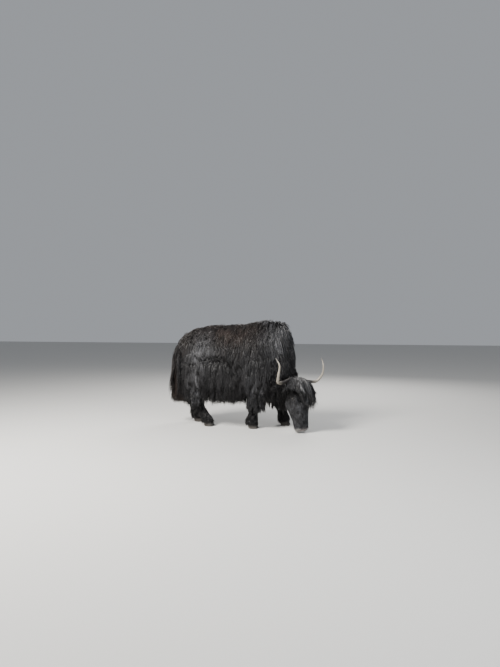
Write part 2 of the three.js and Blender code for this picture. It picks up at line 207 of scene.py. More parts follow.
class Loft:
    """Builds closed skins from rings, by bridging one circle to the next."""

    def __init__(self) -> None:
        """Start with an empty mesh."""
        self.bm = bmesh.new()

    def add(self, rings: Sequence[Ring], around: int) -> list[bmesh.types.BMVert]:
        """Bridge the rings into one closed body.

        Args:
            rings: the sections, in order.
            around: how many points each section has.

        Returns:
            The new vertices, ring by ring.
        """
        made: list[bmesh.types.BMVert] = []
        loops: list[list[bmesh.types.BMEdge]] = []
        for ring in rings:
            verts = bmesh.ops.create_circle(self.bm, segments=around, radius=1.0)["verts"]
            for vert, point in zip(verts, ring.points(around)):
                vert.co = point
            made += verts
            loops.append(list(dict.fromkeys(edge for vert in verts for edge in vert.link_edges)))
        for first, second in zip(loops, loops[1:]):
            bmesh.ops.bridge_loops(self.bm, edges=first + second)
        for end in (loops[0], loops[-1]):
            bmesh.ops.edgeloop_fill(self.bm, edges=end)
        return made

    def ball(self, centre: Array, radii: Sequence[float], axes: Sequence[Array], detail: int = 16) -> None:
        """Add an ellipsoid, its faces put in an order that is the same each run."""
        turn = Matrix(np.stack(axes, axis=1).tolist()).to_4x4()
        matrix = Matrix.Translation(Vector(centre)) @ turn @ Matrix.Diagonal((*radii, 1.0))
        bmesh.ops.create_uvsphere(
            self.bm, u_segments=detail, v_segments=detail // 2 + 2, radius=1.0, matrix=matrix
        )
        self.bm.verts.index_update()
        self.bm.faces.sort(key=self.corner_rank)

    @staticmethod
    def corner_rank(face: bmesh.types.BMFace) -> float:
        """Return a number that ranks a face by the first three of its corners."""
        low, middle, high = sorted(vert.index for vert in face.verts)[:3]
        return (low * 1e5 + middle) * 1e5 + high

    def finish(self, name: str) -> bpy.types.Object:
        """Make the mesh an object whose faces point outwards."""
        bmesh.ops.recalc_face_normals(self.bm, faces=self.bm.faces)
        mesh = bpy.data.meshes.new(name)
        self.bm.to_mesh(mesh)
        self.bm.free()
        return link(name, mesh)


def link(name: str, mesh: bpy.types.Mesh) -> bpy.types.Object:
    """Put a mesh in the scene as an object at the origin."""
    obj = bpy.data.objects.new(name, mesh)
    bpy.context.scene.collection.objects.link(obj)
    return obj


def discard(obj: bpy.types.Object) -> None:
    """Remove a helper object."""
    bpy.data.objects.remove(obj, do_unlink=True)


def apply_modifiers(obj: bpy.types.Object) -> None:
    """Replace an object's mesh by what its modifiers make of it."""
    depsgraph = bpy.context.evaluated_depsgraph_get()
    mesh = bpy.data.meshes.new_from_object(obj.evaluated_get(depsgraph))
    obj.modifiers.clear()
    old, obj.data = obj.data, mesh
    bpy.data.meshes.remove(old)


def remesh(obj: bpy.types.Object, voxel: float, smooth_steps: int) -> None:
    """Fuse an object's bodies into one even skin, then relax it.

    Args:
        obj: the object.
        voxel: the size of the new faces.
        smooth_steps: how many times each vertex is drawn to its neighbours.
    """
    modifier = obj.modifiers.new("fuse", "REMESH")
    modifier.mode = "VOXEL"
    modifier.voxel_size = voxel
    apply_modifiers(obj)
    relax = obj.modifiers.new("relax", "SMOOTH")
    relax.factor = 0.5
    relax.iterations = smooth_steps
    apply_modifiers(obj)


def combine(obj: bpy.types.Object, tool: bpy.types.Object, operation: str) -> None:
    """Join a tool to an object or cut it out of it, and remove the tool.

    Args:
        obj: the object.
        tool: the other object.
        operation: UNION or DIFFERENCE.
    """
    modifier = obj.modifiers.new("combine", "BOOLEAN")
    modifier.operation = operation
    modifier.solver = "MANIFOLD"
    modifier.object = tool
    apply_modifiers(obj)
    discard(tool)


def vectors(source: bpy.types.bpy_prop_collection, field: str) -> Array:
    """Return a three-number field of a collection as rows."""
    flat = np.empty(len(source) * 3, dtype=np.float32)
    source.foreach_get(field, flat)
    return flat.reshape(-1, 3).astype(float)


def coordinates(mesh: bpy.types.Mesh) -> Array:
    """Return a mesh's vertices as rows."""
    return vectors(mesh.vertices, "co")


def set_coordinates(mesh: bpy.types.Mesh, points: Array) -> None:
    """Write rows back as a mesh's vertices."""
    mesh.vertices.foreach_set("co", points.astype(np.float32).ravel())
    mesh.update()


def vertex_normals(mesh: bpy.types.Mesh) -> Array:
    """Return a mesh's vertex normals as rows."""
    return vectors(mesh.vertex_normals, "vector")


def corner_vertices(mesh: bpy.types.Mesh) -> Array:
    """Return the number of the vertex at each of the faces' corners."""
    order = np.empty(len(mesh.loops), dtype=np.int32)
    mesh.loops.foreach_get("vertex_index", order)
    return order


def add_map(mesh: bpy.types.Mesh, name: str, spots: Array) -> None:
    """Give a mesh a map, from a row for each of the faces' corners."""
    mesh.uv_layers.new(name=name).data.foreach_set("uv", spots.astype(np.float32).ravel())


def add_hair_data(mesh: bpy.types.Mesh, rows: Array) -> None:
    """Write four numbers for each vertex, which the materials read."""
    data = mesh.attributes.new(HAIR_DATA, "FLOAT_COLOR", "POINT")
    data.data.foreach_set("color", rows.astype(np.float32).ravel())


def shade_smooth(mesh: bpy.types.Mesh) -> None:
    """Shade all faces of a mesh as one smooth surface."""
    mesh.polygons.foreach_set("use_smooth", np.ones(len(mesh.polygons), dtype=bool))


@dataclass(frozen=True)
class Level:
    """One station of a body part under the coat.

    Attributes:
        forward, left, up: the centre.
        front: reach along the station's rise axis.
        back: reach against it.
        half: half the width.
    """

    forward: float
    left: float
    up: float
    front: float
    back: float
    half: float

    def row(self) -> list[float]:
        """Return the station as numbers."""
        return [self.forward, self.left, self.up, self.front, self.back, self.half]

    def place(self, spread: float = 1.0) -> Array:
        """Return the centre in the row's frame, spread sideways."""
        return PLACES.body(self.forward, self.left * spread, self.up)


def level_rings(
    levels: Iterable[Level], steps: int, rise: Array, power: tuple[float, float] = (2.0, 2.0)
) -> list[Ring]:
    """Return smooth rings through levels.

    Args:
        levels: the stations, in order.
        steps: how many rings to lay.
        rise: the direction that front and back are measured in.
        power: the superellipse powers in front and behind.

    Returns:
        The rings, in order.
    """
    rows = np.array([level.row() for level in levels])
    rings = []
    for t in np.linspace(0, 1, steps):
        forward, left, up, front, back, half = smooth_between(rows, float(t))
        rings.append(Ring(PLACES.body(forward, left, up), LEFT, rise, half, front, back, *power))
    return rings


def between(a: Sequence[float], b: Sequence[float], share: float) -> tuple[float, float]:
    """Return a place part of the way from a to b."""
    return a[0] + (b[0] - a[0]) * share, a[1] + (b[1] - a[1]) * share


@dataclass(frozen=True)
class Leg:
    """A leg under its coat: where its joints stand, as forward and left.

    Attributes:
        name: the leg's name in the frame.
        top: shoulder or hip.
        middle: elbow or stifle.
        joint: knee or hock.
        hoof: the middle of the foot.
        fetlock_back_fore, fetlock_back_hind: how far the fetlock stands behind that.
        pastern_back: how far the pastern does.
        cannon_share: where the leg is thinnest, from the joint to the fetlock.
    """

    name: str
    top: tuple[float, float]
    middle: tuple[float, float]
    joint: tuple[float, float]
    hoof: tuple[float, float]
    fetlock_back_fore: float = 0.008
    fetlock_back_hind: float = 0.026
    pastern_back: float = 0.008
    cannon_share: float = 0.58

    @property
    def fore(self) -> bool:
        """Whether this is a foreleg."""
        return self.name.startswith("fore")

    @property
    def fetlock(self) -> tuple[float, float]:
        """Where the fetlock stands."""
        back = self.fetlock_back_fore if self.fore else self.fetlock_back_hind
        return self.hoof[0] - back, self.hoof[1]

    def levels(self) -> list[Level]:
        """Lay the leg's stations.

        Returns:
            The stations from the top down.
        """
        cannon = between(self.joint, self.fetlock, self.cannon_share)
        pastern = (self.hoof[0] - self.pastern_back, self.hoof[1])
        if self.fore:
            upper = [
                Level(*self.top, 0.840, 0.085, 0.095, 0.066),
                Level(*self.middle, 0.600, 0.086, 0.092, 0.072),
                Level(*between(self.middle, self.joint, 0.6), 0.450, 0.056, 0.060, 0.052),
                Level(*self.joint, 0.335, 0.042, 0.040, 0.040),
            ]
        else:
            upper = [
                Level(*self.top, 0.900, 0.120, 0.110, 0.078),
                Level(*self.middle, 0.690, 0.132, 0.128, 0.086),
                Level(*between(self.middle, self.joint, 0.55), 0.520, 0.082, 0.080, 0.058),
                Level(*self.joint, 0.385, 0.044, 0.056, 0.042),
            ]
        return upper + [
            Level(*cannon, 0.205, 0.027, 0.033, 0.030),
            Level(*self.fetlock, 0.112, 0.036, 0.042, 0.040),
            Level(*pastern, 0.066, 0.040, 0.040, 0.043),
            Level(*self.hoof, 0.046, 0.040, 0.036, 0.042),
        ]


LEGS = (
    Leg("fore_right", (0.345, -0.165), (0.312, -0.168), (0.287, -0.152), (0.250, -0.140)),
    Leg("fore_left", (0.365, 0.165), (0.398, 0.168), (0.520, 0.158), (0.580, 0.150)),
    Leg("hind_right", (-0.455, -0.165), (-0.440, -0.178), (-0.488, -0.150), (-0.310, -0.130)),
    Leg("hind_left", (-0.480, 0.165), (-0.520, 0.176), (-0.655, 0.146), (-0.540, 0.130)),
)

TRUNK = (
    Level(-0.700, 0, 0.840, 0.130, 0.170, 0.055),
    Level(-0.650, 0, 0.830, 0.215, 0.245, 0.150),
    Level(-0.530, 0, 0.830, 0.312, 0.310, 0.222),
    Level(-0.320, 0, 0.820, 0.366, 0.330, 0.250),
    Level(-0.050, 0, 0.810, 0.384, 0.350, 0.264),
    Level(0.180, 0, 0.810, 0.406, 0.350, 0.256),
    Level(0.330, 0, 0.810, 0.440, 0.325, 0.236),
    Level(0.430, 0, 0.820, 0.448, 0.320, 0.205),
    Level(0.525, 0, 0.830, 0.420, 0.310, 0.172),
    Level(0.590, 0, 0.830, 0.350, 0.280, 0.125),
    Level(0.640, 0, 0.850, 0.205, 0.200, 0.055),
)
NECK = (
    Level(0.400, 0, 0.900, 0.250, 0.330, 0.170),
    Level(0.505, -0.010, 0.790, 0.196, 0.250, 0.150),
    Level(0.590, -0.045, 0.680, 0.105, 0.185, 0.125),
    Level(0.655, -0.085, 0.585, 0.074, 0.145, 0.105),
    Level(0.700, -0.115, 0.505, 0.052, 0.120, 0.094),
    Level(0.735, -0.140, 0.440, 0.040, 0.090, 0.075),
)
NECK_RISE = FORWARD * 0.73 + UP * 0.68
TAIL = (
    Level(-0.610, 0, 1.085, 0.035, 0.035, 0.040),
    Level(-0.690, 0, 1.010, 0.030, 0.030, 0.034),
    Level(-0.735, 0, 0.900, 0.026, 0.026, 0.028),
    Level(-0.752, 0, 0.760, 0.018, 0.018, 0.020),
    Level(-0.756, 0, 0.640, 0.008, 0.008, 0.009),
)


# The head's stations: down from the poll, reach in front and behind, and half the width.
HEAD = np.array(
    (
        (-0.014, 0.026, 0.040, 0.038),
        (0.008, 0.062, 0.086, 0.080),
        (0.090, 0.094, 0.138, 0.112),
        (0.170, 0.094, 0.164, 0.113),
        (0.230, 0.088, 0.172, 0.106),
        (0.300, 0.086, 0.164, 0.106),
        (0.370, 0.079, 0.130, 0.095),
        (0.440, 0.070, 0.094, 0.083),
        (0.505, 0.063, 0.072, 0.078),
        (0.548, 0.056, 0.064, 0.073),
        (0.575, 0.035, 0.046, 0.050),
    )
)


# The left ear's stations: side, front, up, half its height and half its thickness.
EAR = np.array(
    (
        (0.070, -0.052, -0.088, 0.020, 0.018),
        (0.125, -0.072, -0.084, 0.030, 0.012),
        (0.165, -0.086, -0.080, 0.036, 0.007),
        (0.210, -0.102, -0.075, 0.031, 0.005),
        (0.245, -0.115, -0.075, 0.017, 0.004),
        (0.262, -0.120, -0.077, 0.006, 0.003),
    )
)
SIDES = (("left", 1), ("right", -1))

# Where the left eye looks and how its slit slants, in head directions.
GAZE = unit(np.array((0.90, 0.40, 0.08)))
SLIT_FRONT = 0.42
SLIT_UP = -0.90

# Where the lips meet: how far below the poll in front, and how that line rises behind a place.
MOUTH_DOWN = 0.572
MOUTH_FRONT = 0.028
MOUTH_SLOPE = 0.558


@dataclass(frozen=True)
class Mass:
    """A rounded mass that is fused into the skin on both sides.

    Attributes:
        place: its middle: side, front and up on the head, or left, forward and up on the body.
        radii: its half sizes along the same.
        detail: how many faces go round it.
    """

    place: Triple
    radii: Triple
    detail: int = 16


@dataclass(frozen=True)
class Press:
    """A soft bulge or hollow on both sides of the head.

    Attributes:
        rise: how far it stands out, below zero for a hollow.
        place: its middle, as side, front and down from the poll.
        reach: how far it spreads along each of those.
    """

    rise: float
    place: Triple
    reach: Triple

    def weight(self, place: Array) -> Array:
        """Return how much of it is felt at places given as its own is."""
        return np.exp(-(((place - self.place) / self.reach) ** 2).sum(axis=1))


# The shoulder's and the haunch's swell.
BODY_MASSES = (
    Mass((0.205, 0.36, 0.93), (0.045, 0.10, 0.16)),
    Mass((0.175, -0.50, 0.97), (0.055, 0.11, 0.11)),
)
# The eye's surround, the brow, the jaw's corner, the nostril's swell and the chin.
HEAD_MASSES = (
    Mass((0.090, 0.030, -0.212), (0.032, 0.050, 0.058), 24),
    Mass((0.090, 0.052, -0.186), (0.027, 0.030, 0.034), 20),
    Mass((0.074, -0.070, -0.250), (0.026, 0.062, 0.085), 20),
    Mass((0.040, 0.036, -0.520), (0.026, 0.022, 0.036), 16),
)
CHIN = Mass((0.0, -0.026, -0.548), (0.040, 0.034, 0.026), 20)
# The brow's edge, the temple, the side of the nose, the cheek's ridge, the hollow behind the
# mouth, the muzzle's top edge, the nostril's rim and the groove of the upper lip.
PRESSES = (
    Press(0.006, (0.086, 0.078, 0.172), (0.030, 0.030, 0.024)),
    Press(-0.007, (0.108, -0.020, 0.150), (0.040, 0.040, 0.045)),
    Press(-0.006, (0.062, 0.060, 0.330), (0.020, 0.030, 0.070)),
    Press(0.004, (0.080, 0.010, 0.285), (0.030, 0.016, 0.060)),
    Press(-0.006, (0.070, -0.030, 0.440), (0.040, 0.034, 0.050)),
    Press(0.004, (0.050, 0.040, 0.498), (0.020, 0.020, 0.014)),
    Press(0.003, (0.046, 0.054, 0.532), (0.022, 0.020, 0.020)),
    Press(-0.005, (0.000, 0.060, 0.560), (0.006, 0.030, 0.030)),
)

# The tool that cuts a nostril: how far out, how far along, half its length, its width to each side.
NOSTRIL_CUTS = (
    (0.026, 0.0, 0.018, 0.0115, 0.0092),
    (0.004, 0.0, 0.0155, 0.0090, 0.0072),
    (-0.008, 0.0, 0.0125, 0.0070, 0.0056),
    (-0.022, 0.006, 0.006, 0.004, 0.004),
)


def gaze(side: int) -> tuple[Array, Array, Array]:
    """Find an eye's own axes in the row's frame."""
    out = PLACES.side * GAZE[0] * side + PLACES.front * GAZE[1] + PLACES.crown * GAZE[2]
    slit = PLACES.front * SLIT_FRONT + PLACES.crown * SLIT_UP
    slit = unit(slit - out * (slit @ out))
    return slit, np.cross(out, slit), out


def eye_centre(side: int) -> Array:
    """Return the middle of an eyeball."""
    return PLACES.head(side * EYE_SIDE, EYE_FRONT, -EYE_DOWN)


def mouth_line(front: Array) -> Array:
    """Return how far below the poll the lips meet, for how far in front."""
    return MOUTH_DOWN - MOUTH_SLOPE * np.maximum(MOUTH_FRONT - front, 0.0)


@dataclass(frozen=True)
class Skin:
    """One skin over the whole animal, inside the solids by the coat's depth.

    Attributes:
        body_voxel, head_voxel: the size of the skin's faces on the body and on the head.
        ear_around: how many points each section of an ear has.
        ear_cup: how far an ear's edges stand forward, as a share of half its height.
        crease, crease_width: how deep and wide the line between the lips is.
        lip, lip_gap, lip_width: how far the lips stand out, how far from that line, and how wide.
        folds: the radius and the depth of each fold round an eye.
        fold_width: how wide a fold is.
        lid: how thick the eyelids are.
        slit_half, slit_height: half the width and height of the gap between the lids.
        slit_depths: how far from the eyeball's middle the tool that cuts it has its sections.
        socket_gap: the room between eyeball and socket.
        nostril: the middle of the left nostril, in head places.
        seam_angle: the angle at which the skin's map is cut, in degrees.
    """

    body_voxel: float = 0.012
    head_voxel: float = 0.0034
    ear_around: int = 28
    ear_cup: float = 0.42
    crease: float = 0.008
    crease_width: float = 0.0046
    lip: float = 0.0022
    lip_gap: float = 0.010
    lip_width: float = 0.005
    folds: tuple[tuple[float, float], ...] = ((0.0265, 0.0016), (0.034, 0.0012))
    fold_width: float = 0.0022
    lid: float = 0.0036
    slit_half: float = 0.0182
    slit_height: float = 0.0122
    slit_depths: tuple[float, ...] = (0.009, 0.0165, 0.020, 0.034)
    socket_gap: float = 0.0004
    nostril: Triple = (0.046, 0.054, -0.530)
    seam_angle: float = 66.0

    def build(self) -> bpy.types.Object:
        """Model the skin.

        Returns:
            The skin's object, unwrapped.
        """
        body = self.body()
        head = self.head()
        combine(body, head, "UNION")
        body.name = "skin"
        self.unwrap(body)
        return body

    def body(self) -> bpy.types.Object:
        """Model trunk, neck, legs and the tail's core as one skin.

        Returns:
            The body's object.
        """
        loft = Loft()
        loft.add(level_rings(TRUNK, 34, UP, (1.9, 2.3)), 48)
        loft.add(level_rings(NECK, 18, NECK_RISE), 36)
        loft.add(level_rings(TAIL, 18, FORWARD), 16)
        for leg in LEGS:
            loft.add(level_rings(leg.levels(), 40, FORWARD), 28)
        for _, side in SIDES:
            for mass in BODY_MASSES:
                left, forward, up = mass.place
                place = PLACES.body(forward, side * left, up)
                loft.ball(place, mass.radii, (LEFT, FORWARD, UP), mass.detail)
        body = loft.finish("body_skin")
        remesh(body, self.body_voxel, 4)
        return body

    def head(self) -> bpy.types.Object:
        """Model the head with its ears, lids, nostrils and mouth.

        Returns:
            The head's object.
        """
        loft = Loft()
        rings = []
        for t in np.linspace(0, 1, 60):
            down, front, back, half = smooth_between(HEAD, float(t))
            centre = PLACES.head(0, 0, -down)
            rings.append(Ring(centre, PLACES.side, PLACES.front, half, front, back, 2.5, 1.9))
        loft.add(rings, 48)
        axes = (PLACES.side, PLACES.front, PLACES.crown)
        for _, side in SIDES:
            loft.ball(eye_centre(side), (EYE_RADIUS + self.lid) * np.ones(3), gaze(side), 24)
            for mass in HEAD_MASSES:
                out, front, up = mass.place
                loft.ball(PLACES.head(side * out, front, up), mass.radii, axes, mass.detail)
            self.ear(loft, side)
        loft.ball(PLACES.head(*CHIN.place), CHIN.radii, axes, CHIN.detail)
        head = loft.finish("head_skin")
        remesh(head, self.head_voxel, 3)
        self.carve(head)
        return head

    def ear(self, loft: Loft, side: int) -> None:
        """Add an ear, cupped towards the front and below.

        Args:
            loft: the head's loft.
            side: 1 for left, -1 for right.
        """
        rings = []
        for t in np.linspace(0, 1, 22):
            out, front, up, half, thick = smooth_between(EAR, float(t))
            centre = PLACES.head(side * out, front, up)
            rings.append(Ring(centre, PLACES.crown, PLACES.front, half, thick, thick))
        made = loft.add(rings, self.ear_around)
        for i, vert in enumerate(made):
            number = i // self.ear_around
            ring = rings[number]
            share = float((np.array(vert.co) - ring.centre) @ ring.across) / ring.half
            cup = self.ear_cup * ring.half * share * share * min(1.0, 0.3 + number / 8)
            vert.co = np.array(vert.co) + PLACES.front * cup

    def carve(self, head: bpy.types.Object) -> None:
        """Press the finer forms into the head, then open the lids and the nostrils.

        Args:
            head: the head's object.
        """
        points = coordinates(head.data)
        place = PLACES.to_head(points) * (1, 1, -1)
        place[:, 0] = np.abs(place[:, 0])
        move = np.zeros(len(points))
        for press in PRESSES:
            move += press.rise * press.weight(place)
        move += self.mouth(place[:, 1], place[:, 2])
        for _, side in SIDES:
            move -= self.eye_folds(points, side)
        set_coordinates(head.data, points + vertex_normals(head.data) * move[:, None])
        for _, side in SIDES:
            self.open_lids(head, side)
            self.open_nostril(head, side)

    def mouth(self, front: Array, down: Array) -> Array:
        """Weigh the line between the lips and the lips beside it.

        Args:
            front, down: how far in front of the poll and below it.

        Returns:
            How far the skin moves outwards.
        """
        gap = down - mouth_line(front)
        along = np.clip((0.036 - front) / 0.02, 0, 1) * np.clip((front + 0.062) / 0.02, 0, 1)
        along = along * (down > 0.47)
        crease = self.crease * np.exp(-((gap / self.crease_width) ** 2))
        lips = self.lip * np.exp(-(((np.abs(gap) - self.lip_gap) / self.lip_width) ** 2))
        return (lips - crease) * along

    def eye_folds(self, points: Array, side: int) -> Array:
        """Weigh the folds round an eye.

        Args:
            points: places in the row's frame.
            side: 1 for left, -1 for right.

        Returns:
            How far the skin moves inwards.
        """
        slit, across, out = gaze(side)
        local = points - eye_centre(side)
        apart = np.hypot(local @ slit, local @ across * 1.15)
        ahead = local @ out > 0.004
        folds = [
            depth * np.exp(-(((apart - radius) / self.fold_width) ** 2)) for radius, depth in self.folds
        ]
        return sum(folds) * ahead

    def open_lids(self, head: bpy.types.Object, side: int) -> None:
        """Cut the slit between the lids and the hollow that holds the eyeball.

        Args:
            head: the head's object.
            side: 1 for left, -1 for right.
        """
        slit, across, out = gaze(side)
        centre = eye_centre(side)
        loft = Loft()
        rings = []
        for distance in self.slit_depths:
            width, height = self.slit_half * distance / EYE_RADIUS, self.slit_height * distance / EYE_RADIUS
            middle = centre + out * distance
            rings.append(Ring(middle, slit, across, width, height, height * 0.8, 1.55, 1.7))
        loft.add(rings, 36)
        combine(head, loft.finish("lid_slit"), "DIFFERENCE")
        loft = Loft()
        loft.ball(centre, (EYE_RADIUS + self.socket_gap) * np.ones(3), (slit, across, out), 32)
        combine(head, loft.finish("socket"), "DIFFERENCE")

    def open_nostril(self, head: bpy.types.Object, side: int) -> None:
        """Cut a slanting nostril, wide in front and drawn out to the side.

        Args:
            head: the head's object.
            side: 1 for left, -1 for right.
        """
        out = unit(PLACES.side * 0.62 * side + PLACES.front * 0.78 - PLACES.crown * 0.12)
        slant = PLACES.side * 0.50 * side - PLACES.front * 0.35 + PLACES.crown * 0.72
        slant = unit(slant - out * (slant @ out))
        across = np.cross(out, slant)
        centre = PLACES.head(side * self.nostril[0], self.nostril[1], self.nostril[2])
        rings = []
        for distance, shift, *sizes in NOSTRIL_CUTS:
            rings.append(Ring(centre + out * distance + slant * shift, slant, across, *sizes))
        loft = Loft()
        loft.add(rings, 24)
        combine(head, loft.finish("nostril"), "DIFFERENCE")

    def unwrap(self, skin: bpy.types.Object) -> None:
        """Lay the skin out flat on its own map.

        Args:
            skin: the skin's object.
        """
        skin.data.uv_layers.new(name=BAKE_MAP)
        bpy.ops.object.select_all(action="DESELECT")
        skin.select_set(True)
        bpy.context.view_layer.objects.active = skin
        bpy.ops.object.mode_set(mode="EDIT")
        bpy.ops.mesh.select_all(action="SELECT")
        bpy.ops.uv.smart_project(angle_limit=math.radians(self.seam_angle), island_margin=0.001)
        bpy.ops.object.mode_set(mode="OBJECT")
        shade_smooth(skin.data)


class Zone(Enum):
    """The parts of the body that the coat tells apart."""

    TRUNK = 0
    NECK = 1
    HEAD = 2
    EAR = 3
    FORE_UPPER = 4
    HIND_UPPER = 5
    SHANK = 6
    TAIL = 7


class Ground:
    """The skin as the coat sees it: its triangles, their zones, and the way to the nearest skin.

    Attributes:
        skip: how far past each face of the outline the search for the next one starts.
        least_room, most_room: the limits of the coat's depth.
        least_rise: how far off the skin a lock runs at least.
        bone_size: how thick each zone is round its bone.
        trunk_bone, trunk_up: where the trunk's bone runs, as forward and up.
        head_bone, head_back: where the head's bone runs, as down from the poll and behind it.
        leg_spread: how much farther out the upper legs' bones lie than their skin's middle.
    """

    least_rise: float = 0.0042
    trunk_bone: tuple[float, ...] = (-0.56, -0.1, 0.3, 0.44)
    trunk_up: float = 0.84
    head_bone: tuple[float, ...] = (0.03, 0.2, 0.38, 0.56)
    head_back: float = 0.02
    leg_spread: float = 1.25
    skip: float = 0.0002
    least_room: float = 0.006
    bone_size: dict[Zone, float] = {
        Zone.TRUNK: 0.27,
        Zone.NECK: 0.13,
        Zone.HEAD: 0.125,
        Zone.EAR: 0.028,
        Zone.FORE_UPPER: 0.085,
        Zone.HIND_UPPER: 0.085,
        Zone.SHANK: 0.05,
        Zone.TAIL: 0.030,
    }
    most_room: dict[Zone, float] = {
        Zone.TRUNK: 0.11,
        Zone.NECK: 0.11,
        Zone.HEAD: 0.085,
        Zone.EAR: 0.030,
        Zone.FORE_UPPER: 0.085,
        Zone.HIND_UPPER: 0.085,
        Zone.SHANK: 0.055,
        Zone.TAIL: 0.075,
    }

    def __init__(self, skin: bpy.types.Object, outline: BVHTree) -> None:
        """Read the skin's triangles.

        Args:
            skin: the finished skin.
            outline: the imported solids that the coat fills.
        """
        mesh = skin.data
        mesh.calc_loop_triangles()
        count = len(mesh.loop_triangles)
        corners = np.empty(count * 3, dtype=np.int32)
        mesh.loop_triangles.foreach_get("vertices", corners)
        loops = np.empty(count * 3, dtype=np.int32)
        mesh.loop_triangles.foreach_get("loops", loops)
        uv = np.empty(len(mesh.loops) * 2, dtype=np.float32)
        mesh.uv_layers[BAKE_MAP].data.foreach_get("uv", uv)
        points = coordinates(mesh)
        self.corners = points[corners].reshape(-1, 3, 3)
        self.normals = vertex_normals(mesh)[corners].reshape(-1, 3, 3)
        self.uv = uv.reshape(-1, 2)[loops].reshape(-1, 3, 2)
        self.centre = self.corners.mean(axis=1)
        edge_a = self.corners[:, 1] - self.corners[:, 0]
        edge_b = self.corners[:, 2] - self.corners[:, 0]
        cross = np.cross(edge_a, edge_b)
        self.area = np.linalg.norm(cross, axis=1) / 2
        self.normal = unit(cross)
        self.body = PLACES.to_body(self.centre)
        self.head = PLACES.to_head(self.centre)
        self.tree = BVHTree.FromPolygons(points.tolist(), corners.reshape(-1, 3).tolist())
        self.zone = self.find_zones()
        self.room = self.find_room(outline)

    def find_room(self, outline: BVHTree) -> Array:
        """Measure how deep the coat may be over each triangle.

        Args:
            outline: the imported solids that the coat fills.

        Returns:
            The way out to the outline, for each triangle.
        """
        cap = np.array([self.most_room[zone] for zone in Zone])[self.zone]
        room = np.zeros(len(self.centre))
        for i, (spot, normal) in enumerate(zip(self.centre.tolist(), self.normal.tolist())):
            at, way, gone = Vector(spot), Vector(normal), 0.0
            while gone < cap[i]:
                hit, face, _, far = outline.ray_cast(at, way, cap[i] - gone)
                if hit is None:
                    break
                gone += far + self.skip
                if face.dot(way) > 0:
                    room[i] = gone
                at = hit + way * self.skip
        return np.maximum(room, self.least_room)

    def find_zones(self) -> Array:
        """Find which bone each triangle is nearest to for that bone's size.

        Returns:
            The zones' values, for each triangle.
        """
        bones: list[tuple[Zone, list[Array]]] = [
            (Zone.TRUNK, [PLACES.body(forward, 0, self.trunk_up) for forward in self.trunk_bone]),
            (Zone.NECK, [level.place() for level in NECK[1:5]]),
            (Zone.HEAD, [PLACES.head(0, -self.head_back, -down) for down in self.head_bone]),
            (Zone.TAIL, [level.place() for level in TAIL[1:]]),
        ]
        for _, side in SIDES:
            bones.append((Zone.EAR, [PLACES.head(side * row[0], row[1], row[2]) for row in EAR[1:]]))
        for leg in LEGS:
            levels = leg.levels()
            upper = Zone.FORE_UPPER if leg.fore else Zone.HIND_UPPER
            bones.append((upper, [level.place(self.leg_spread) for level in levels[:4]]))
            bones.append((Zone.SHANK, [level.place() for level in levels[3:]]))
        best = np.full(len(self.centre), np.inf)
        zone = np.zeros(len(self.centre), dtype=int)
        for kind, chain in bones:
            for a, b in zip(chain, chain[1:]):
                axis = b - a
                t = np.clip((self.centre - a) @ axis / (axis @ axis), 0, 1)
                gap = np.linalg.norm(self.centre - a - t[:, None] * axis, axis=1) / self.bone_size[kind]
                nearer = gap < best
                best[nearer] = gap[nearer]
                zone[nearer] = kind.value
        return zone

    def sample(self, weight: Array, count: int, rng: np.random.Generator) -> "Roots":
        """Scatter roots over the triangles.

        Args:
            weight: how thick the coat grows on each triangle, 0 for none.
            count: how many roots.
            rng: the seeded source of chance.

        Returns:
            The roots.
        """
        chance = weight * self.area
        chosen = rng.choice(len(chance), size=count, p=chance / chance.sum())
        a, b = rng.random(count), rng.random(count)
        flip = a + b > 1
        a[flip], b[flip] = 1 - a[flip], 1 - b[flip]
        share = np.stack((1 - a - b, a, b), axis=1)[:, :, None]
        return Roots(
            (self.corners[chosen] * share).sum(axis=1),
            unit((self.normals[chosen] * share).sum(axis=1)),
            (self.uv[chosen] * share).sum(axis=1),
        )

    def lift(self, points: Array, share: Array) -> tuple[Array, Array]:
        """Push points out of the skin, into the coat's depth.

        Args:
            points: where they are.
            share: how far out in the coat's depth each must be, from 0 to 1.

        Returns:
            The moved points and the skin's normals below them.
        """
        moved = points.copy()
        normals = np.zeros_like(points)
        for i, (point, part) in enumerate(zip(points.tolist(), share.tolist())):
            spot, normal, index, distance = self.tree.find_nearest(point)
            least = max(self.least_rise, self.room[index] * part)
            inside = (Vector(point) - spot).dot(normal) < 0
            if inside or distance < least:
                moved[i] = spot + normal * least
            normals[i] = normal
        return moved, normals


@dataclass(frozen=True)
class Roots:
    """Where locks grow: places, the skin's normals there, and places on the skin's map."""

    place: Array
    normal: Array
    uv: Array


@dataclass(frozen=True)
class Lock:
    """How a region's locks grow.

    Attributes:
        length: from root to tip.
        width: at its widest.
        rings: sections between root and tip.
        lift: how far it first stands out of its lie, as a share.
        pull: how fast it bends down, for each metre.
        loft: how much of the coat's depth it may fill.
        clump: how far locks gather into wisps.
        wave: how far it wanders sideways, in metres.
        vary: how far its length changes, as a share.
        flat: thickness for each width.
        ease: how far its tip lies back down towards the skin, as a share.
        sink: how deep its root sits in the skin.
    """

    length: float
    width: float
    rings: int = 4
    lift: float = 0.25
    pull: float = 12.0
    loft: float = 1.0
    clump: float = 0.7
    wave: float = 0.006
    vary: float = 0.22
    flat: float = 0.42
    ease: float = 0.25
    sink: float = 0.003


@dataclass(frozen=True)
class Tone:
    """How much browner a region's locks are than its markings, and how much painted glint grey they add,
    from 0 to 1.
    """

    brown: float = 0.04
    grey: float = 0.0


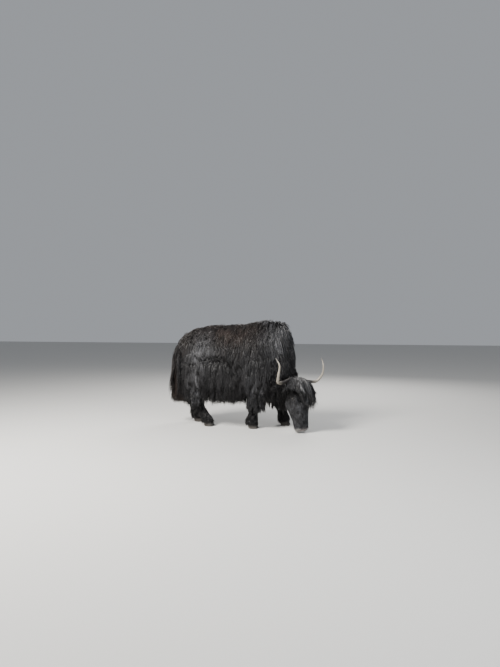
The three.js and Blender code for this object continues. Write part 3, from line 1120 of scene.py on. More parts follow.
@dataclass(frozen=True)
class Region:
    """A stretch of the coat.

    Attributes:
        name: its name.
        count: how many locks it has.
        lock: how they grow.
        weight: how thick it grows on each of the skin's triangles.
        lie: which way its locks lie, for their places and the skin's normals there.
        tone: how much browner it is than the markings, and how much grey of painted glints it adds.
        hem: the height at which it ends, for body places or for all.
        long: how much longer its locks are, for their places.
        kept: whether its locks stay inside the trunk's outline and off the floor.
    """

    name: str
    count: int
    lock: Lock
    weight: Callable[[Ground], Array]
    lie: Callable[[Array, Array], Array]
    tone: Tone = Tone()
    hem: Callable[[Array], Array] | float | None = None
    long: Callable[[Array], Array] | None = None
    kept: bool = True


def zone_is(ground: Ground, *zones: Zone) -> Array:
    """Return 1 where a triangle lies in one of the zones and 0 elsewhere."""
    return np.isin(ground.zone, [zone.value for zone in zones]).astype(float)


def soft_step(value: Array, low: float, high: float) -> Array:
    """Return a smooth ramp from 0 at low to 1 at high."""
    t = np.clip((value - low) / (high - low), 0, 1)
    return t * t * (3 - 2 * t)


def lie_hanging(place: Array, normal: Array) -> Array:
    """Return the lie of the trunk's coat: out from the spine, then down and a little back."""
    body = PLACES.to_body(place)
    flat = np.clip(normal[:, 2], 0, 1)[:, None]
    side = np.tanh(body[:, 1] / 0.09)[:, None]
    ahead = soft_step(body[:, 0], 0.40, 0.60)[:, None]
    back = 0.30 + 0.5 * flat - (0.75 + 0.5 * flat) * ahead
    return LEFT * side * flat * 0.9 - UP - FORWARD * back


def lie_neck(place: Array, normal: Array) -> Array:
    """Return the lie of the neck's coat: down, and forward along the nape."""
    top = np.clip(normal[:, 2], 0, 1)[:, None]
    return FORWARD * (0.12 + 0.6 * top) - UP


def lie_leg(place: Array, normal: Array) -> Array:
    """Return the lie of the legs' coat: down and a little back."""
    return np.broadcast_to(-UP - FORWARD * 0.12, place.shape)


def lie_tail(place: Array, normal: Array) -> Array:
    """Return the lie of the tail's coat: down, and spreading."""
    return -UP + normal * np.array((0.32, 0.32, 0.0))


def lie_crown(place: Array, normal: Array) -> Array:
    """Return the lie of the forelock: forward from the crown, then down and to its left."""
    spread = np.tanh(PLACES.to_head(place)[:, 0] / 0.05)[:, None] * 0.16 + 0.10
    return PLACES.front * 0.55 - PLACES.crown * 0.9 + PLACES.side * spread


def lie_face(place: Array, normal: Array) -> Array:
    """Find the lie of the short coat: down the face, back over the cheeks, away from the eyes.

    Args:
        place: where the locks grow.
        normal: the skin's normals there; not used.

    Returns:
        The directions, as rows.
    """
    head = PLACES.to_head(place)
    back = soft_step(-head[:, 1], -0.05, 0.08)[:, None]
    run = -PLACES.crown - PLACES.front * back * 0.45
    for _, side in SIDES:
        away = place - eye_centre(side) - gaze(side)[2] * EYE_RADIUS
        far = np.linalg.norm(away, axis=1, keepdims=True)
        run = run + away / far * 1.6 * np.exp(-((far / 0.026) ** 2))
    return run


def lie_ear(place: Array, normal: Array) -> Array:
    """Return the lie of the ears' coat: out along the ear, and down."""
    side = np.sign(PLACES.to_head(place)[:, 0])[:, None]
    return PLACES.side * side - PLACES.front * 0.35 - UP * 0.35


# Half the width that the trunk's coat keeps to, as forward and half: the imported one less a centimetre.
OUTLINE = (
    (-0.660, 0.180),
    (-0.545, 0.258),
    (-0.320, 0.292),
    (-0.050, 0.304),
    (0.180, 0.300),
    (0.330, 0.282),
    (0.560, 0.215),
)


@dataclass(frozen=True)
class Tufts:
    """Grows a region's locks and makes them one mesh.

    Attributes:
        ground: the skin to grow on.
        finish: the coat's material.
        lock_group, wisp_group: how many locks gather in a group and in a wisp.
        stray: how unevenly locks lie beside each other.
        ragged: how uneven a hem is.
        least_cut: the shortest that a hem cuts a lock.
        eye_clear: how near an eye's opening locks may end.
        eye_beside: how far sideways of an eye's middle that holds.
        draw: how much of what stands out past the trunk's outline is drawn in, as a share.
        floor: how far off the floor locks stay.
        twist: how far a lock is turned about its length, in radians.
        patch: the size of a lock's patch on the skin's map.
        streak_share: the share of locks that are painted glints, streaks lightened as painted highlight.
        streaked, plain: how much of the region's painted glint grey a streak has, and how much the others.
    """

    ground: Ground
    finish: bpy.types.Material
    lock_group: int = 6
    wisp_group: int = 22
    stray: float = 0.13
    ragged: float = 0.02
    least_cut: float = 0.03
    eye_clear: float = 0.018
    eye_beside: float = 0.046
    draw: float = 0.7
    floor: float = 0.004
    twist: float = 0.7
    patch: float = 0.003
    streak_share: float = 0.22
    streaked: float = 2.3
    plain: float = 0.3

    def grow(self, region: Region, seed: int) -> bpy.types.Object:
        """Grow one region of the coat.

        Args:
            region: the region.
            seed: the start of its chance.

        Returns:
            The region's object.
        """
        rng = np.random.default_rng(seed)
        count = region.count
        roots = self.ground.sample(region.weight(self.ground), count, rng)
        wisp = self.leaders(roots.place, self.wisp_group, rng)
        chance = rng.random(count)
        length = self.lengths(region, roots, chance[wisp], rng)
        depth = region.lock.loft * (0.44 + 0.34 * chance[wisp] + 0.30 * rng.random(count))
        paths, normals = self.paths(region, roots, length, depth, rng)
        group = self.leaders(roots.place, self.lock_group, rng)
        self.gather(paths, roots.place, group, region.lock.clump * 0.7)
        self.gather(paths, roots.place, wisp, region.lock.clump)
        tone = 0.55 * rng.permutation(chance)[wisp] + 0.45 * rng.random(count)
        mesh = bpy.data.meshes.new("coat_" + region.name)
        self.wrap(mesh, region.lock, paths, normals, rng)
        self.paint(mesh, region, roots, length, tone, rng)
        mesh.materials.append(self.finish)
        return link(mesh.name, mesh)

    def lengths(self, region: Region, roots: Roots, luck: Array, rng: np.random.Generator) -> Array:
        """Choose each lock's length, cut at the region's hem and clear of the eyes.

        Args:
            region: the region.
            roots: where the locks grow.
            luck: a number from 0 to 1 that a wisp's locks share.
            rng: the source of chance.

        Returns:
            The lengths.
        """
        lock = region.lock
        length = lock.length * (1 + lock.vary * rng.uniform(-1, 1, len(luck)) + 0.3 * (luck - 0.5))
        if region.long is not None:
            length = length * region.long(roots.place)
        if region.hem is not None:
            ragged = rng.uniform(-self.ragged, self.ragged, len(luck)) + 0.035 * luck
            hem = region.hem(PLACES.to_body(roots.place)) if callable(region.hem) else region.hem
            drop = roots.place[:, 2] - hem - ragged
            length = np.minimum(length, np.maximum(drop, self.least_cut))
        for _, side in SIDES:
            opening = eye_centre(side) + gaze(side)[2] * EYE_RADIUS
            gap = np.linalg.norm(roots.place - opening, axis=1) - self.eye_clear
            beside = np.abs(PLACES.to_head(roots.place)[:, 0] - side * EYE_SIDE) > self.eye_beside
            length = np.minimum(length, np.where(beside, length, np.maximum(gap, self.eye_clear)))
        return length

    def paths(
        self, region: Region, roots: Roots, length: Array, depth: Array, rng: np.random.Generator
    ) -> tuple[Array, Array]:
        """Lead each lock from its root along the skin and down.

        Args:
            region: the region.
            roots: where the locks grow.
            length: how long each is.
            depth: how far out in the coat's depth each lies.
            rng: the source of chance.

        Returns:
            The paths, lock by lock and ring by ring, and the skin's normals below them.
        """
        lock, count = region.lock, len(length)
        run = region.lie(roots.place, roots.normal)
        run = run - roots.normal * (run * roots.normal).sum(axis=1, keepdims=True)
        run = unit(run + self.stray * rng.normal(size=run.shape))
        heading = unit(run + roots.normal * lock.lift * rng.uniform(0.5, 1.5, (count, 1)))
        place = roots.place - roots.normal * lock.sink
        paths, normals = [place], [roots.normal]
        stride = (length / lock.rings)[:, None]
        sway = rng.normal(size=(count, 3))
        for k in range(1, lock.rings + 1):
            share = k / lock.rings
            heading = unit(heading - UP * lock.pull * stride)
            place = place + heading * stride
            rise = min(1.0, 0.65 + share) * (1 - lock.ease * share * share)
            place, below = self.ground.lift(place, depth * rise)
            heading = unit(heading * 0.5 + unit(place - paths[-1]) * 0.5)
            swayed = place + sway * lock.wave * math.sin(share * 4.4)
            paths.append(self.kept_in(swayed) if region.kept else swayed)
            normals.append(below)
        return np.stack(paths, axis=1), np.stack(normals, axis=1)

    def kept_in(self, place: Array) -> Array:
        """Draw in what stands out too far at the trunk's sides, and lift what would touch the floor.

        Args:
            place: places on the locks.

        Returns:
            The moved places.
        """
        body = PLACES.to_body(place)
        widest = np.interp(body[:, 0], *np.array(OUTLINE).T, left=1.0, right=1.0)
        over = np.sign(body[:, 1]) * np.maximum(np.abs(body[:, 1]) - widest, 0.0)
        kept = place - LEFT * (over * self.draw)[:, None]
        kept[:, 2] = np.maximum(kept[:, 2], self.floor)
        return kept

    @staticmethod
    def leaders(places: Array, size: int, rng: np.random.Generator) -> Array:
        """Choose the locks that lead groups.

        Args:
            places: where the locks grow.
            size: how many locks share a leader, about.
            rng: the source of chance.

        Returns:
            For each lock, the number of the lock that leads its group.
        """
        count = len(places)
        chosen = rng.choice(count, size=max(1, count // size), replace=False)
        seeds = places[chosen]
        found = np.empty(count, dtype=int)
        for start in range(0, count, 512):
            gap = places[start : start + 512, None, :] - seeds[None, :, :]
            found[start : start + 512] = (gap * gap).sum(axis=2).argmin(axis=1)
        return chosen[found]

    @staticmethod
    def gather(paths: Array, places: Array, lead: Array, pull: float) -> None:
        """Draw the locks' tips towards their leaders' so that they hang in wisps.

        Args:
            paths: the locks' paths, which are changed.
            places: where the locks grow.
            lead: the number of each lock's leader.
            pull: how far the tips are drawn, as a share.
        """
        offset = places - places[lead]
        rings = paths.shape[1]
        led = paths[lead].copy()
        for k in range(1, rings):
            share = k / (rings - 1)
            weight = pull * share
            target = led[:, k] + offset * (1 - 0.85 * share)
            paths[:, k] = paths[:, k] * (1 - weight) + target * weight

    def wrap(
        self, mesh: bpy.types.Mesh, lock: Lock, paths: Array, normals: Array, rng: np.random.Generator
    ) -> None:
        """Wrap each path in a thin three-sided lock that tapers to a point.

        Args:
            mesh: the empty mesh to fill.
            lock: how the locks grow.
            paths: their paths.
            normals: the skin's normals below those.
            rng: the source of chance.
        """
        count, rings = paths.shape[:2]
        bodies = rings - 1
        tangent = unit(np.gradient(paths, axis=1))
        across = unit(np.cross(tangent, normals) + 1e-6)
        twist = rng.uniform(-self.twist, self.twist, (count, 1, 1))
        outward = np.cross(across, tangent)
        across, outward = (
            across * np.cos(twist) + outward * np.sin(twist),
            outward * np.cos(twist) - across * np.sin(twist),
        )
        share = np.arange(bodies) / bodies
        taper = np.minimum(1.0, 0.55 + 1.8 * share) * (1 - share) ** 0.8
        width = (lock.width * rng.uniform(0.65, 1.25, (count, 1, 1)) * taper[None, :, None])[..., None]
        corners = np.array(((-0.5, 0.0), (0.5, 0.0), (0.0, 1.0)))[None, None]
        ring = (
            paths[:, :bodies, None, :]
            + across[:, :bodies, None, :] * (corners[..., 0:1] * width)
            + outward[:, :bodies, None, :] * (corners[..., 1:2] * width * lock.flat)
        )
        points = np.concatenate((ring.reshape(count, bodies * 3, 3), paths[:, -1:, :]), axis=1)
        first = np.arange(count)[:, None, None] * (bodies * 3 + 1)
        quads, tris = self.lock_faces(bodies)
        quads, tris = (first + quads).reshape(-1, 4), (first + tris).reshape(-1, 3)
        self.fill(mesh, points.reshape(-1, 3), quads, tris)

    @staticmethod
    def lock_faces(bodies: int) -> tuple[Array, Array]:
        """List the corners of one lock's faces.

        Args:
            bodies: how many sections it has before its tip.

        Returns:
            The faces of four corners, and those of three.
        """
        quads = []
        for k in range(bodies - 1):
            for j in range(3):
                n = (j + 1) % 3
                quads.append((k * 3 + j, k * 3 + n, k * 3 + 3 + n, k * 3 + 3 + j))
        top = (bodies - 1) * 3
        tris = [(top + j, top + (j + 1) % 3, bodies * 3) for j in range(3)]
        tris.append((0, 2, 1))
        return np.array(quads), np.array(tris)

    @staticmethod
    def fill(mesh: bpy.types.Mesh, points: Array, quads: Array, tris: Array) -> None:
        """Write points and faces into an empty mesh.

        Args:
            mesh: the mesh.
            points: its vertices, as rows.
            quads: its faces of four corners.
            tris: its faces of three.
        """
        loops = np.concatenate((quads.ravel(), tris.ravel())).astype(np.int32)
        total = np.concatenate((np.full(len(quads), 4), np.full(len(tris), 3))).astype(np.int32)
        start = np.concatenate(((0,), np.cumsum(total)[:-1])).astype(np.int32)
        mesh.vertices.add(len(points))
        mesh.vertices.foreach_set("co", points.astype(np.float32).ravel())
        mesh.loops.add(len(loops))
        mesh.loops.foreach_set("vertex_index", loops)
        mesh.polygons.add(len(total))
        mesh.polygons.foreach_set("loop_start", start)
        shade_smooth(mesh)
        mesh.update(calc_edges=True)
        mesh.validate()

    def paint(
        self,
        mesh: bpy.types.Mesh,
        region: Region,
        roots: Roots,
        length: Array,
        tone: Array,
        rng: np.random.Generator,
    ) -> None:
        """Give a lock mesh its two maps and its hair data: tone, share of length, brown and grey, the grey
        being mostly painted sheen and glints.

        Args:
            mesh: the locks' mesh.
            region: the region.
            roots: where the locks grow.
            length: how long each is.
            tone: how light each is, from 0 to 1.
            rng: the source of chance.
        """
        bodies = region.lock.rings
        along = np.append(np.repeat(np.arange(bodies) / bodies, 3), 1.0)
        over = np.append(np.tile((-0.5, 0.5, 0.0), bodies), 0.0)
        count, size = len(length), len(along)
        order = corner_vertices(mesh)
        spot = np.stack((over * self.patch, (along - 0.5) * self.patch), axis=1)
        add_map(mesh, BAKE_MAP, (roots.uv[:, None, :] + spot[None]).reshape(-1, 2)[order])
        offset = rng.random((count, 1)) * 7
        strand = np.stack((over[None] + 0.5 + offset, along[None] * length[:, None] * 4), axis=2)
        add_map(mesh, STRAND_MAP, strand.reshape(-1, 2)[order])
        brown, grey = markings(roots.place)
        # Painted highlight: a share of locks get extra grey as glinting streaks.
        streak = np.where(rng.random(count) < self.streak_share, self.streaked, self.plain)
        data = np.empty((count, size, 4))
        data[..., 0] = tone[:, None]
        data[..., 1] = along[None]
        data[..., 2] = np.clip(brown + region.tone.brown, 0, 1)[:, None]
        # The fourth number is the grey of the painted sheen and glints, and the muzzle's own pale.
        data[..., 3] = np.clip(grey + region.tone.grey * streak, 0, 1)[:, None]
        add_hair_data(mesh, data)


def blob(a: Array, b: Array, at: tuple[float, float], reach: tuple[float, float]) -> Array:
    """Return a soft spot around a place, from two measures of each point."""
    return np.exp(-(((a - at[0]) / reach[0]) ** 2) - ((b - at[1]) / reach[1]) ** 2)


# How grey, the middle as forward and up, and the reach of the spots of painted sheen on both sides:
# highlights painted grey on the rear flank, the shoulder, the hump's top, the foreleg and the thigh.
# The ribs between are darkened as painted shade.
SHEEN_SPOTS = (
    (0.52, (-0.34, 0.99), (0.14, 0.16)),
    (0.53, (0.52, 1.12), (0.12, 0.15)),
    (0.46, (0.40, 1.27), (0.08, 0.03)),
    (0.32, (0.28, 0.56), (0.08, 0.26)),
    (0.32, (-0.45, 0.58), (0.10, 0.18)),
)
RIB_SHADE = (0.9, (0.08, 0.62), (0.10, 0.22))
LEAST_GREY = 0.04


def markings(place: Array) -> tuple[Array, Array]:
    """Find how brown and how grey the hair is, for the skin and the coat alike; the grey is mostly painted
    sheen and glints.

    Args:
        place: places in the row's frame.

    Returns:
        Brown from 0 to 1, and grey from 0 for black over 0.5 for grey to 1 for pale: painted sheen on the
        body, partly painted on the face, the hair's own pale on the muzzle.
    """
    forward, left, up = PLACES.to_body(place).T
    ridge = soft_step(up, 0.96, 1.12) * soft_step(0.50 - forward, 0.0, 0.25)
    cloud = 0.5 + 0.5 * np.sin(forward * 9 + 1.3) * np.cos(up * 7 + left * 5)
    switch = soft_step(-forward, 0.66, 0.74) * soft_step(1.00 - up, 0.0, 0.3)
    brown = np.maximum(0.60 * ridge * (0.35 + 0.65 * cloud), 0.75 * switch)
    grey = np.full(len(place), LEAST_GREY)
    # Lay the painted highlight: grey spots of sheen over the black coat.
    for strength, *spot in SHEEN_SPOTS:
        grey = np.maximum(grey, strength * blob(forward, up, *spot))
    # Painted shade: a darker patch low on the ribs behind the shoulder, where the sheen is taken away.
    strength, *spot = RIB_SHADE
    grey = grey * (1 - strength * blob(forward, up, *spot))
    head = PLACES.to_head(place)
    down = -head[:, 2]
    near = np.linalg.norm(head * (1, 1, 0.9) - (0, 0, -0.30), axis=1)
    on_head = soft_step(-near, -0.36, -0.30) * (down < 0.62)
    # Painted highlight: a pale streak down each side of the nose, where light glints on the fur.
    nose_glint = 0.53 * blob(np.abs(head[:, 0]), np.abs(down), (0.060, 0.38), (0.018, 0.110))
    # The face below the brow is grey: partly the hair's own grey, partly painted sheen where light falls on
    # the face.
    face = np.maximum(0.42 * soft_step(down, 0.14, 0.24), nose_glint)
    muzzle = 0.92 * soft_step(down, 0.512, 0.548)
    grey = grey * (1 - on_head) + on_head * np.maximum(face, muzzle)
    return brown * (1 - on_head), grey


def trunk_back(ground: Ground) -> Array:
    """Return where the back's coat grows."""
    return zone_is(ground, Zone.TRUNK) * soft_step(ground.normal[:, 2], 0.15, 0.55)


def trunk_flank(side: int, ground: Ground) -> Array:
    """Return where a side's upper coat grows."""
    there = soft_step(side * ground.body[:, 1], 0.0, 0.04)
    high = soft_step(ground.body[:, 2], 0.66, 0.80)
    return zone_is(ground, Zone.TRUNK) * there * high * soft_step(-ground.normal[:, 2], -0.75, -0.35)


def trunk_skirt(side: int, ground: Ground) -> Array:
    """Return where a side's skirt grows."""
    there = soft_step(side * ground.body[:, 1], 0.08, 0.15)
    low = soft_step(-ground.body[:, 2], -0.90, -0.78)
    return zone_is(ground, Zone.TRUNK) * there * low * (ground.body[:, 0] < 0.62)


def trunk_belly(ground: Ground) -> Array:
    """Return where the belly's and breast's coat grows."""
    under = soft_step(-ground.normal[:, 2], 0.2, 0.6)
    return zone_is(ground, Zone.TRUNK, Zone.NECK) * under * (0.6 + (ground.body[:, 0] > 0.35))


def all_over(zone: Zone, ground: Ground) -> Array:
    """Return a weight that is even over a whole zone."""
    return zone_is(ground, zone)


def on_crown(ground: Ground) -> Array:
    """Return where the forelock grows."""
    side, front, up = ground.head.T
    high = soft_step(up, -0.135, -0.075)
    inner = np.abs(side - 0.018) < 0.095 - 0.15 * np.maximum(-up - 0.05, 0)
    return zone_is(ground, Zone.HEAD) * high * soft_step(front, -0.10, -0.02) * inner


def on_cheek(ground: Ground) -> Array:
    """Return where the jaw's and poll's longer coat grows."""
    _, front, up = ground.head.T
    back = np.maximum(soft_step(-front, 0.0, 0.05), soft_step(up, -0.14, -0.08))
    return zone_is(ground, Zone.HEAD) * back * soft_step(up, -0.50, -0.40)


def on_ear(ground: Ground) -> Array:
    """Return where the ears' coat grows, thicker towards the tips."""
    return zone_is(ground, Zone.EAR) * (1 + 5 * soft_step(np.abs(ground.head[:, 0]), 0.17, 0.25))


def on_face(ground: Ground) -> Array:
    """Find where the face's short coat grows, clear of eyes, nose and lips.

    Args:
        ground: the skin.

    Returns:
        The weight of each triangle.
    """
    side, front, up = ground.head.T
    pad = soft_step(-np.abs(side), -0.066, -0.050) * soft_step(front, 0.012, 0.030)
    bare = soft_step(-up, 0.500, 0.515) * pad
    bare = np.maximum(bare, soft_step(-up, 0.564, 0.574))
    weight = zone_is(ground, Zone.HEAD) * (1 - bare)
    for _, eye in SIDES:
        slit, across, out = gaze(eye)
        local = ground.centre - eye_centre(eye)
        ring = np.hypot(local @ slit / 1.4, local @ across)
        weight = weight * np.where(local @ out > 0, soft_step(ring, 0.0125, 0.0150), 1.0)
    return weight * soft_step(-up, 0.03, 0.12)


def shank_long(place: Array) -> Array:
    """Return how the shanks' coat lengthens at the back of the fetlocks."""
    body = PLACES.to_body(place)
    return 1 + 0.8 * soft_step(-np.abs(body[:, 2] - 0.17), -0.10, -0.02)


def neck_long(place: Array) -> Array:
    """Return how the neck's coat lengthens at the throat and shortens towards the head."""
    body = PLACES.to_body(place)
    throat = soft_step(0.66 - body[:, 2], 0.0, 0.2) * soft_step(0.68 - body[:, 0], 0.0, 0.08)
    return (1 + 0.5 * throat) * (1 - 0.62 * soft_step(body[:, 0], 0.62, 0.70))


def crown_long(place: Array) -> Array:
    """Return how the forelock lengthens towards the animal's left."""
    return 0.70 + 0.75 * soft_step(PLACES.to_head(place)[:, 0], -0.06, 0.03)


def hem_skirt(body: Array) -> Array:
    """Return the height of the skirt's hem."""
    return 0.250 + 0.010 * np.sin(body[:, 0] * 11 + 1) + 0.05 * soft_step(body[:, 0], 0.35, 0.6)


def hem_flank(body: Array) -> Array:
    """Return the height at which the flank's upper coat ends, in a ragged edge behind the ribs."""
    edge = 0.775 + 0.02 * np.sin(body[:, 0] * 23)
    return edge - 0.36 * soft_step(body[:, 0], -0.02, 0.10) - 0.3 * soft_step(-body[:, 0], 0.50, 0.6)


BACK = Lock(0.130, 0.012, lift=0.22, clump=0.35, wave=0.008)
FLANK = Lock(0.230, 0.013, clump=0.55, wave=0.010)
SKIRT = Lock(0.330, 0.013, rings=5, lift=0.3, pull=14.0, clump=0.50, wave=0.013, vary=0.3)
BELLY = Lock(0.150, 0.015, rings=3, lift=0.8, pull=20.0, loft=0.6)
SHOULDER = Lock(0.230, 0.014, wave=0.009)
THIGH = Lock(0.200, 0.014, wave=0.009)
SHANK = Lock(0.060, 0.008, rings=3, lift=0.35, loft=0.9, clump=0.5, wave=0.003)
MANE = Lock(0.165, 0.013, wave=0.009)
SWITCH = Lock(0.640, 0.013, rings=6, lift=0.6, pull=9.0, clump=0.6, wave=0.014, ease=0.1)
FORELOCK = Lock(0.225, 0.0075, rings=5, lift=0.30, pull=11.0, clump=0.6, wave=0.008, ease=0.75)
CHEEK = Lock(0.038, 0.0055, rings=3, pull=9.0, loft=0.6, clump=0.5, wave=0.002)
SHORT = Lock(0.027, 0.0054, rings=3, lift=0.24, pull=5.0, loft=0.30, clump=0.16, wave=0.0010)
EAR_HAIR = Lock(0.036, 0.005, rings=3, lift=0.55, pull=2.0, loft=0.7, clump=0.08, wave=0.002, sink=0.0008)
# Painted highlight: the forelock's glinting streaks, as lighter grey locks.
GLINT_STREAKS = Tone(brown=0.0, grey=0.24)
COAT = (
    Region("back", 5700, BACK, trunk_back, lie_hanging),
    Region("flank_left", 5900, FLANK, partial(trunk_flank, 1), lie_hanging, hem=hem_flank),
    Region("flank_right", 5900, FLANK, partial(trunk_flank, -1), lie_hanging, hem=hem_flank),
    Region("skirt_left", 4450, SKIRT, partial(trunk_skirt, 1), lie_hanging, hem=hem_skirt),
    Region("skirt_right", 4450, SKIRT, partial(trunk_skirt, -1), lie_hanging, hem=hem_skirt),
    Region("belly", 1500, BELLY, trunk_belly, lie_hanging, hem=0.29),
    Region("shoulders", 4700, SHOULDER, partial(all_over, Zone.FORE_UPPER), lie_leg, hem=0.17),
    Region("thighs", 5100, THIGH, partial(all_over, Zone.HIND_UPPER), lie_leg, hem=0.17),
    Region("shanks", 4950, SHANK, partial(all_over, Zone.SHANK), lie_leg, hem=0.010, long=shank_long),
    Region("neck", 5300, MANE, partial(all_over, Zone.NECK), lie_neck, long=neck_long),
    Region("tail", 2700, SWITCH, partial(all_over, Zone.TAIL), lie_tail, hem=0.245),
    Region("forelock", 3200, FORELOCK, on_crown, lie_crown, GLINT_STREAKS, hem=0.228, long=crown_long),
    Region("cheeks", 4100, CHEEK, on_cheek, lie_face),
    Region("face", 9700, SHORT, on_face, lie_face),
    Region("ears", 2300, EAR_HAIR, on_ear, lie_ear, kept=False),
)


class Graph:
    """A small helper that lays shader nodes and links them."""

    def __init__(self, tree: bpy.types.NodeTree) -> None:
        """Keep the tree to build in."""
        self.tree = tree

    def node(self, kind: str, **settings: object) -> bpy.types.Node:
        """Add a node with its own settings."""
        made = self.tree.nodes.new(kind)
        for key, value in settings.items():
            setattr(made, key, value)
        return made

    def feed(self, target: bpy.types.NodeSocket, value: object) -> None:
        """Link a socket to a target, or set the target to a plain value."""
        if isinstance(value, bpy.types.NodeSocket):
            self.tree.links.new(value, target)
        else:
            target.default_value = value

    def math(self, operation: str, a: object, b: object = 0.0) -> bpy.types.NodeSocket:
        """Return the result of a math node."""
        made = self.node("ShaderNodeMath", operation=operation)
        self.feed(made.inputs[0], a)
        self.feed(made.inputs[1], b)
        return made.outputs[0]

    def times(self, a: object, b: object) -> bpy.types.NodeSocket:
        """Return a product."""
        return self.math("MULTIPLY", a, b)

    def mix(self, share: object, a: object, b: object, blend: str = "MIX") -> bpy.types.NodeSocket:
        """Return the result of a colour mix node."""
        made = self.node("ShaderNodeMix", data_type="RGBA", blend_type=blend)
        self.feed(made.inputs[0], share)
        self.feed(made.inputs[6], a)
        self.feed(made.inputs[7], b)
        return made.outputs[2]

    def ramp(self, value: object, low: float, high: float) -> bpy.types.NodeSocket:
        """Return a value mapped from 0..1 to low..high."""
        made = self.node("ShaderNodeMapRange")
        self.feed(made.inputs[0], value)
        self.feed(made.inputs[3], low)
        self.feed(made.inputs[4], high)
        return made.outputs[0]

    def span(self, value: object, low: float, high: float, kind: str = "LINEAR") -> bpy.types.NodeSocket:
        """Return a value mapped from low..high to 0..1."""
        made = self.node("ShaderNodeMapRange", interpolation_type=kind)
        self.feed(made.inputs[0], value)
        self.feed(made.inputs[1], low)
        self.feed(made.inputs[2], high)
        return made.outputs[0]

    def clamp(self, value: object) -> bpy.types.NodeSocket:
        """Return a value kept between 0 and 1."""
        made = self.node("ShaderNodeClamp")
        self.feed(made.inputs[0], value)
        return made.outputs[0]

    def place(self) -> bpy.types.NodeSocket:
        """Return the place on the piece."""
        return self.node("ShaderNodeTexCoord").outputs["Object"]

    def map(self) -> bpy.types.NodeSocket:
        """Return the place on the piece's own map."""
        return self.node("ShaderNodeUVMap", uv_map=STRAND_MAP).outputs[0]

    def parts(self, vector: object) -> list[bpy.types.NodeSocket]:
        """Return a vector's three numbers."""
        made = self.node("ShaderNodeSeparateXYZ")
        self.feed(made.inputs[0], vector)
        return list(made.outputs)

    def hair(self) -> list[bpy.types.NodeSocket]:
        """Return the four numbers of the hair data."""
        data = self.node("ShaderNodeAttribute", attribute_name=HAIR_DATA)
        split = self.node("ShaderNodeSeparateColor")
        self.feed(split.inputs[0], data.outputs["Color"])
        return [*split.outputs, data.outputs["Alpha"]]

    def noise(self, vector: object, scale: float, detail: object) -> bpy.types.NodeSocket:
        """Return a noise texture's factor."""
        made = self.node("ShaderNodeTexNoise")
        self.feed(made.inputs["Scale"], scale)
        self.feed(made.inputs["Detail"], detail)
        self.feed(made.inputs["Vector"], vector)
        return made.outputs["Fac"]

    def streaks(self, vector: object, scale: Triple, detail: float) -> bpy.types.NodeSocket:
        """Return the factor of the long streaks, from their group."""
        made = self.node("ShaderNodeGroup", node_tree=streak_group())
        self.feed(made.inputs["Place"], vector)
        self.feed(made.inputs["Scale"], scale)
        self.feed(made.inputs["Detail"], detail)
        return made.outputs["Streak"]

    def bump(self, shader: bpy.types.Node, height: object, strength: float, distance: float) -> None:
        """Press a height into a shader's surface."""
        made = self.node("ShaderNodeBump")
        self.feed(made.inputs["Strength"], strength)
        self.feed(made.inputs["Distance"], distance)
        self.feed(made.inputs["Height"], height)
        self.feed(shader.inputs["Normal"], made.outputs[0])


def streak_group() -> bpy.types.NodeTree:
    """Build the group of long streaks for hair, horn and hooves once.

    Returns:
        The group, with Place, Scale and Detail in and Streak out.
    """
    found = bpy.data.node_groups.get(STREAKS)
    if found is not None:
        return found
    tree = bpy.data.node_groups.new(STREAKS, "ShaderNodeTree")
    for name, kind in (("Place", "Vector"), ("Scale", "Vector"), ("Detail", "Float")):
        tree.interface.new_socket(name, in_out="INPUT", socket_type="NodeSocket" + kind)
    tree.interface.new_socket("Streak", in_out="OUTPUT", socket_type="NodeSocketFloat")
    g = Graph(tree)
    given, result = g.node("NodeGroupInput"), g.node("NodeGroupOutput")
    stretched = g.node("ShaderNodeMapping")
    g.feed(stretched.inputs["Vector"], given.outputs["Place"])
    g.feed(stretched.inputs["Scale"], given.outputs["Scale"])
    g.feed(result.inputs["Streak"], g.noise(stretched.outputs[0], 1.0, given.outputs["Detail"]))
    return tree


def rgba(red: float, green: float, blue: float) -> Color:
    """Return an opaque colour."""
    return red, green, blue, 1.0


def new_material(name: str) -> tuple[bpy.types.Material, Graph, bpy.types.Node]:
    """Make a node material."""
    material = bpy.data.materials.new(name)
    material.use_nodes = True
    graph = Graph(material.node_tree)
    return material, graph, material.node_tree.nodes["Principled BSDF"]


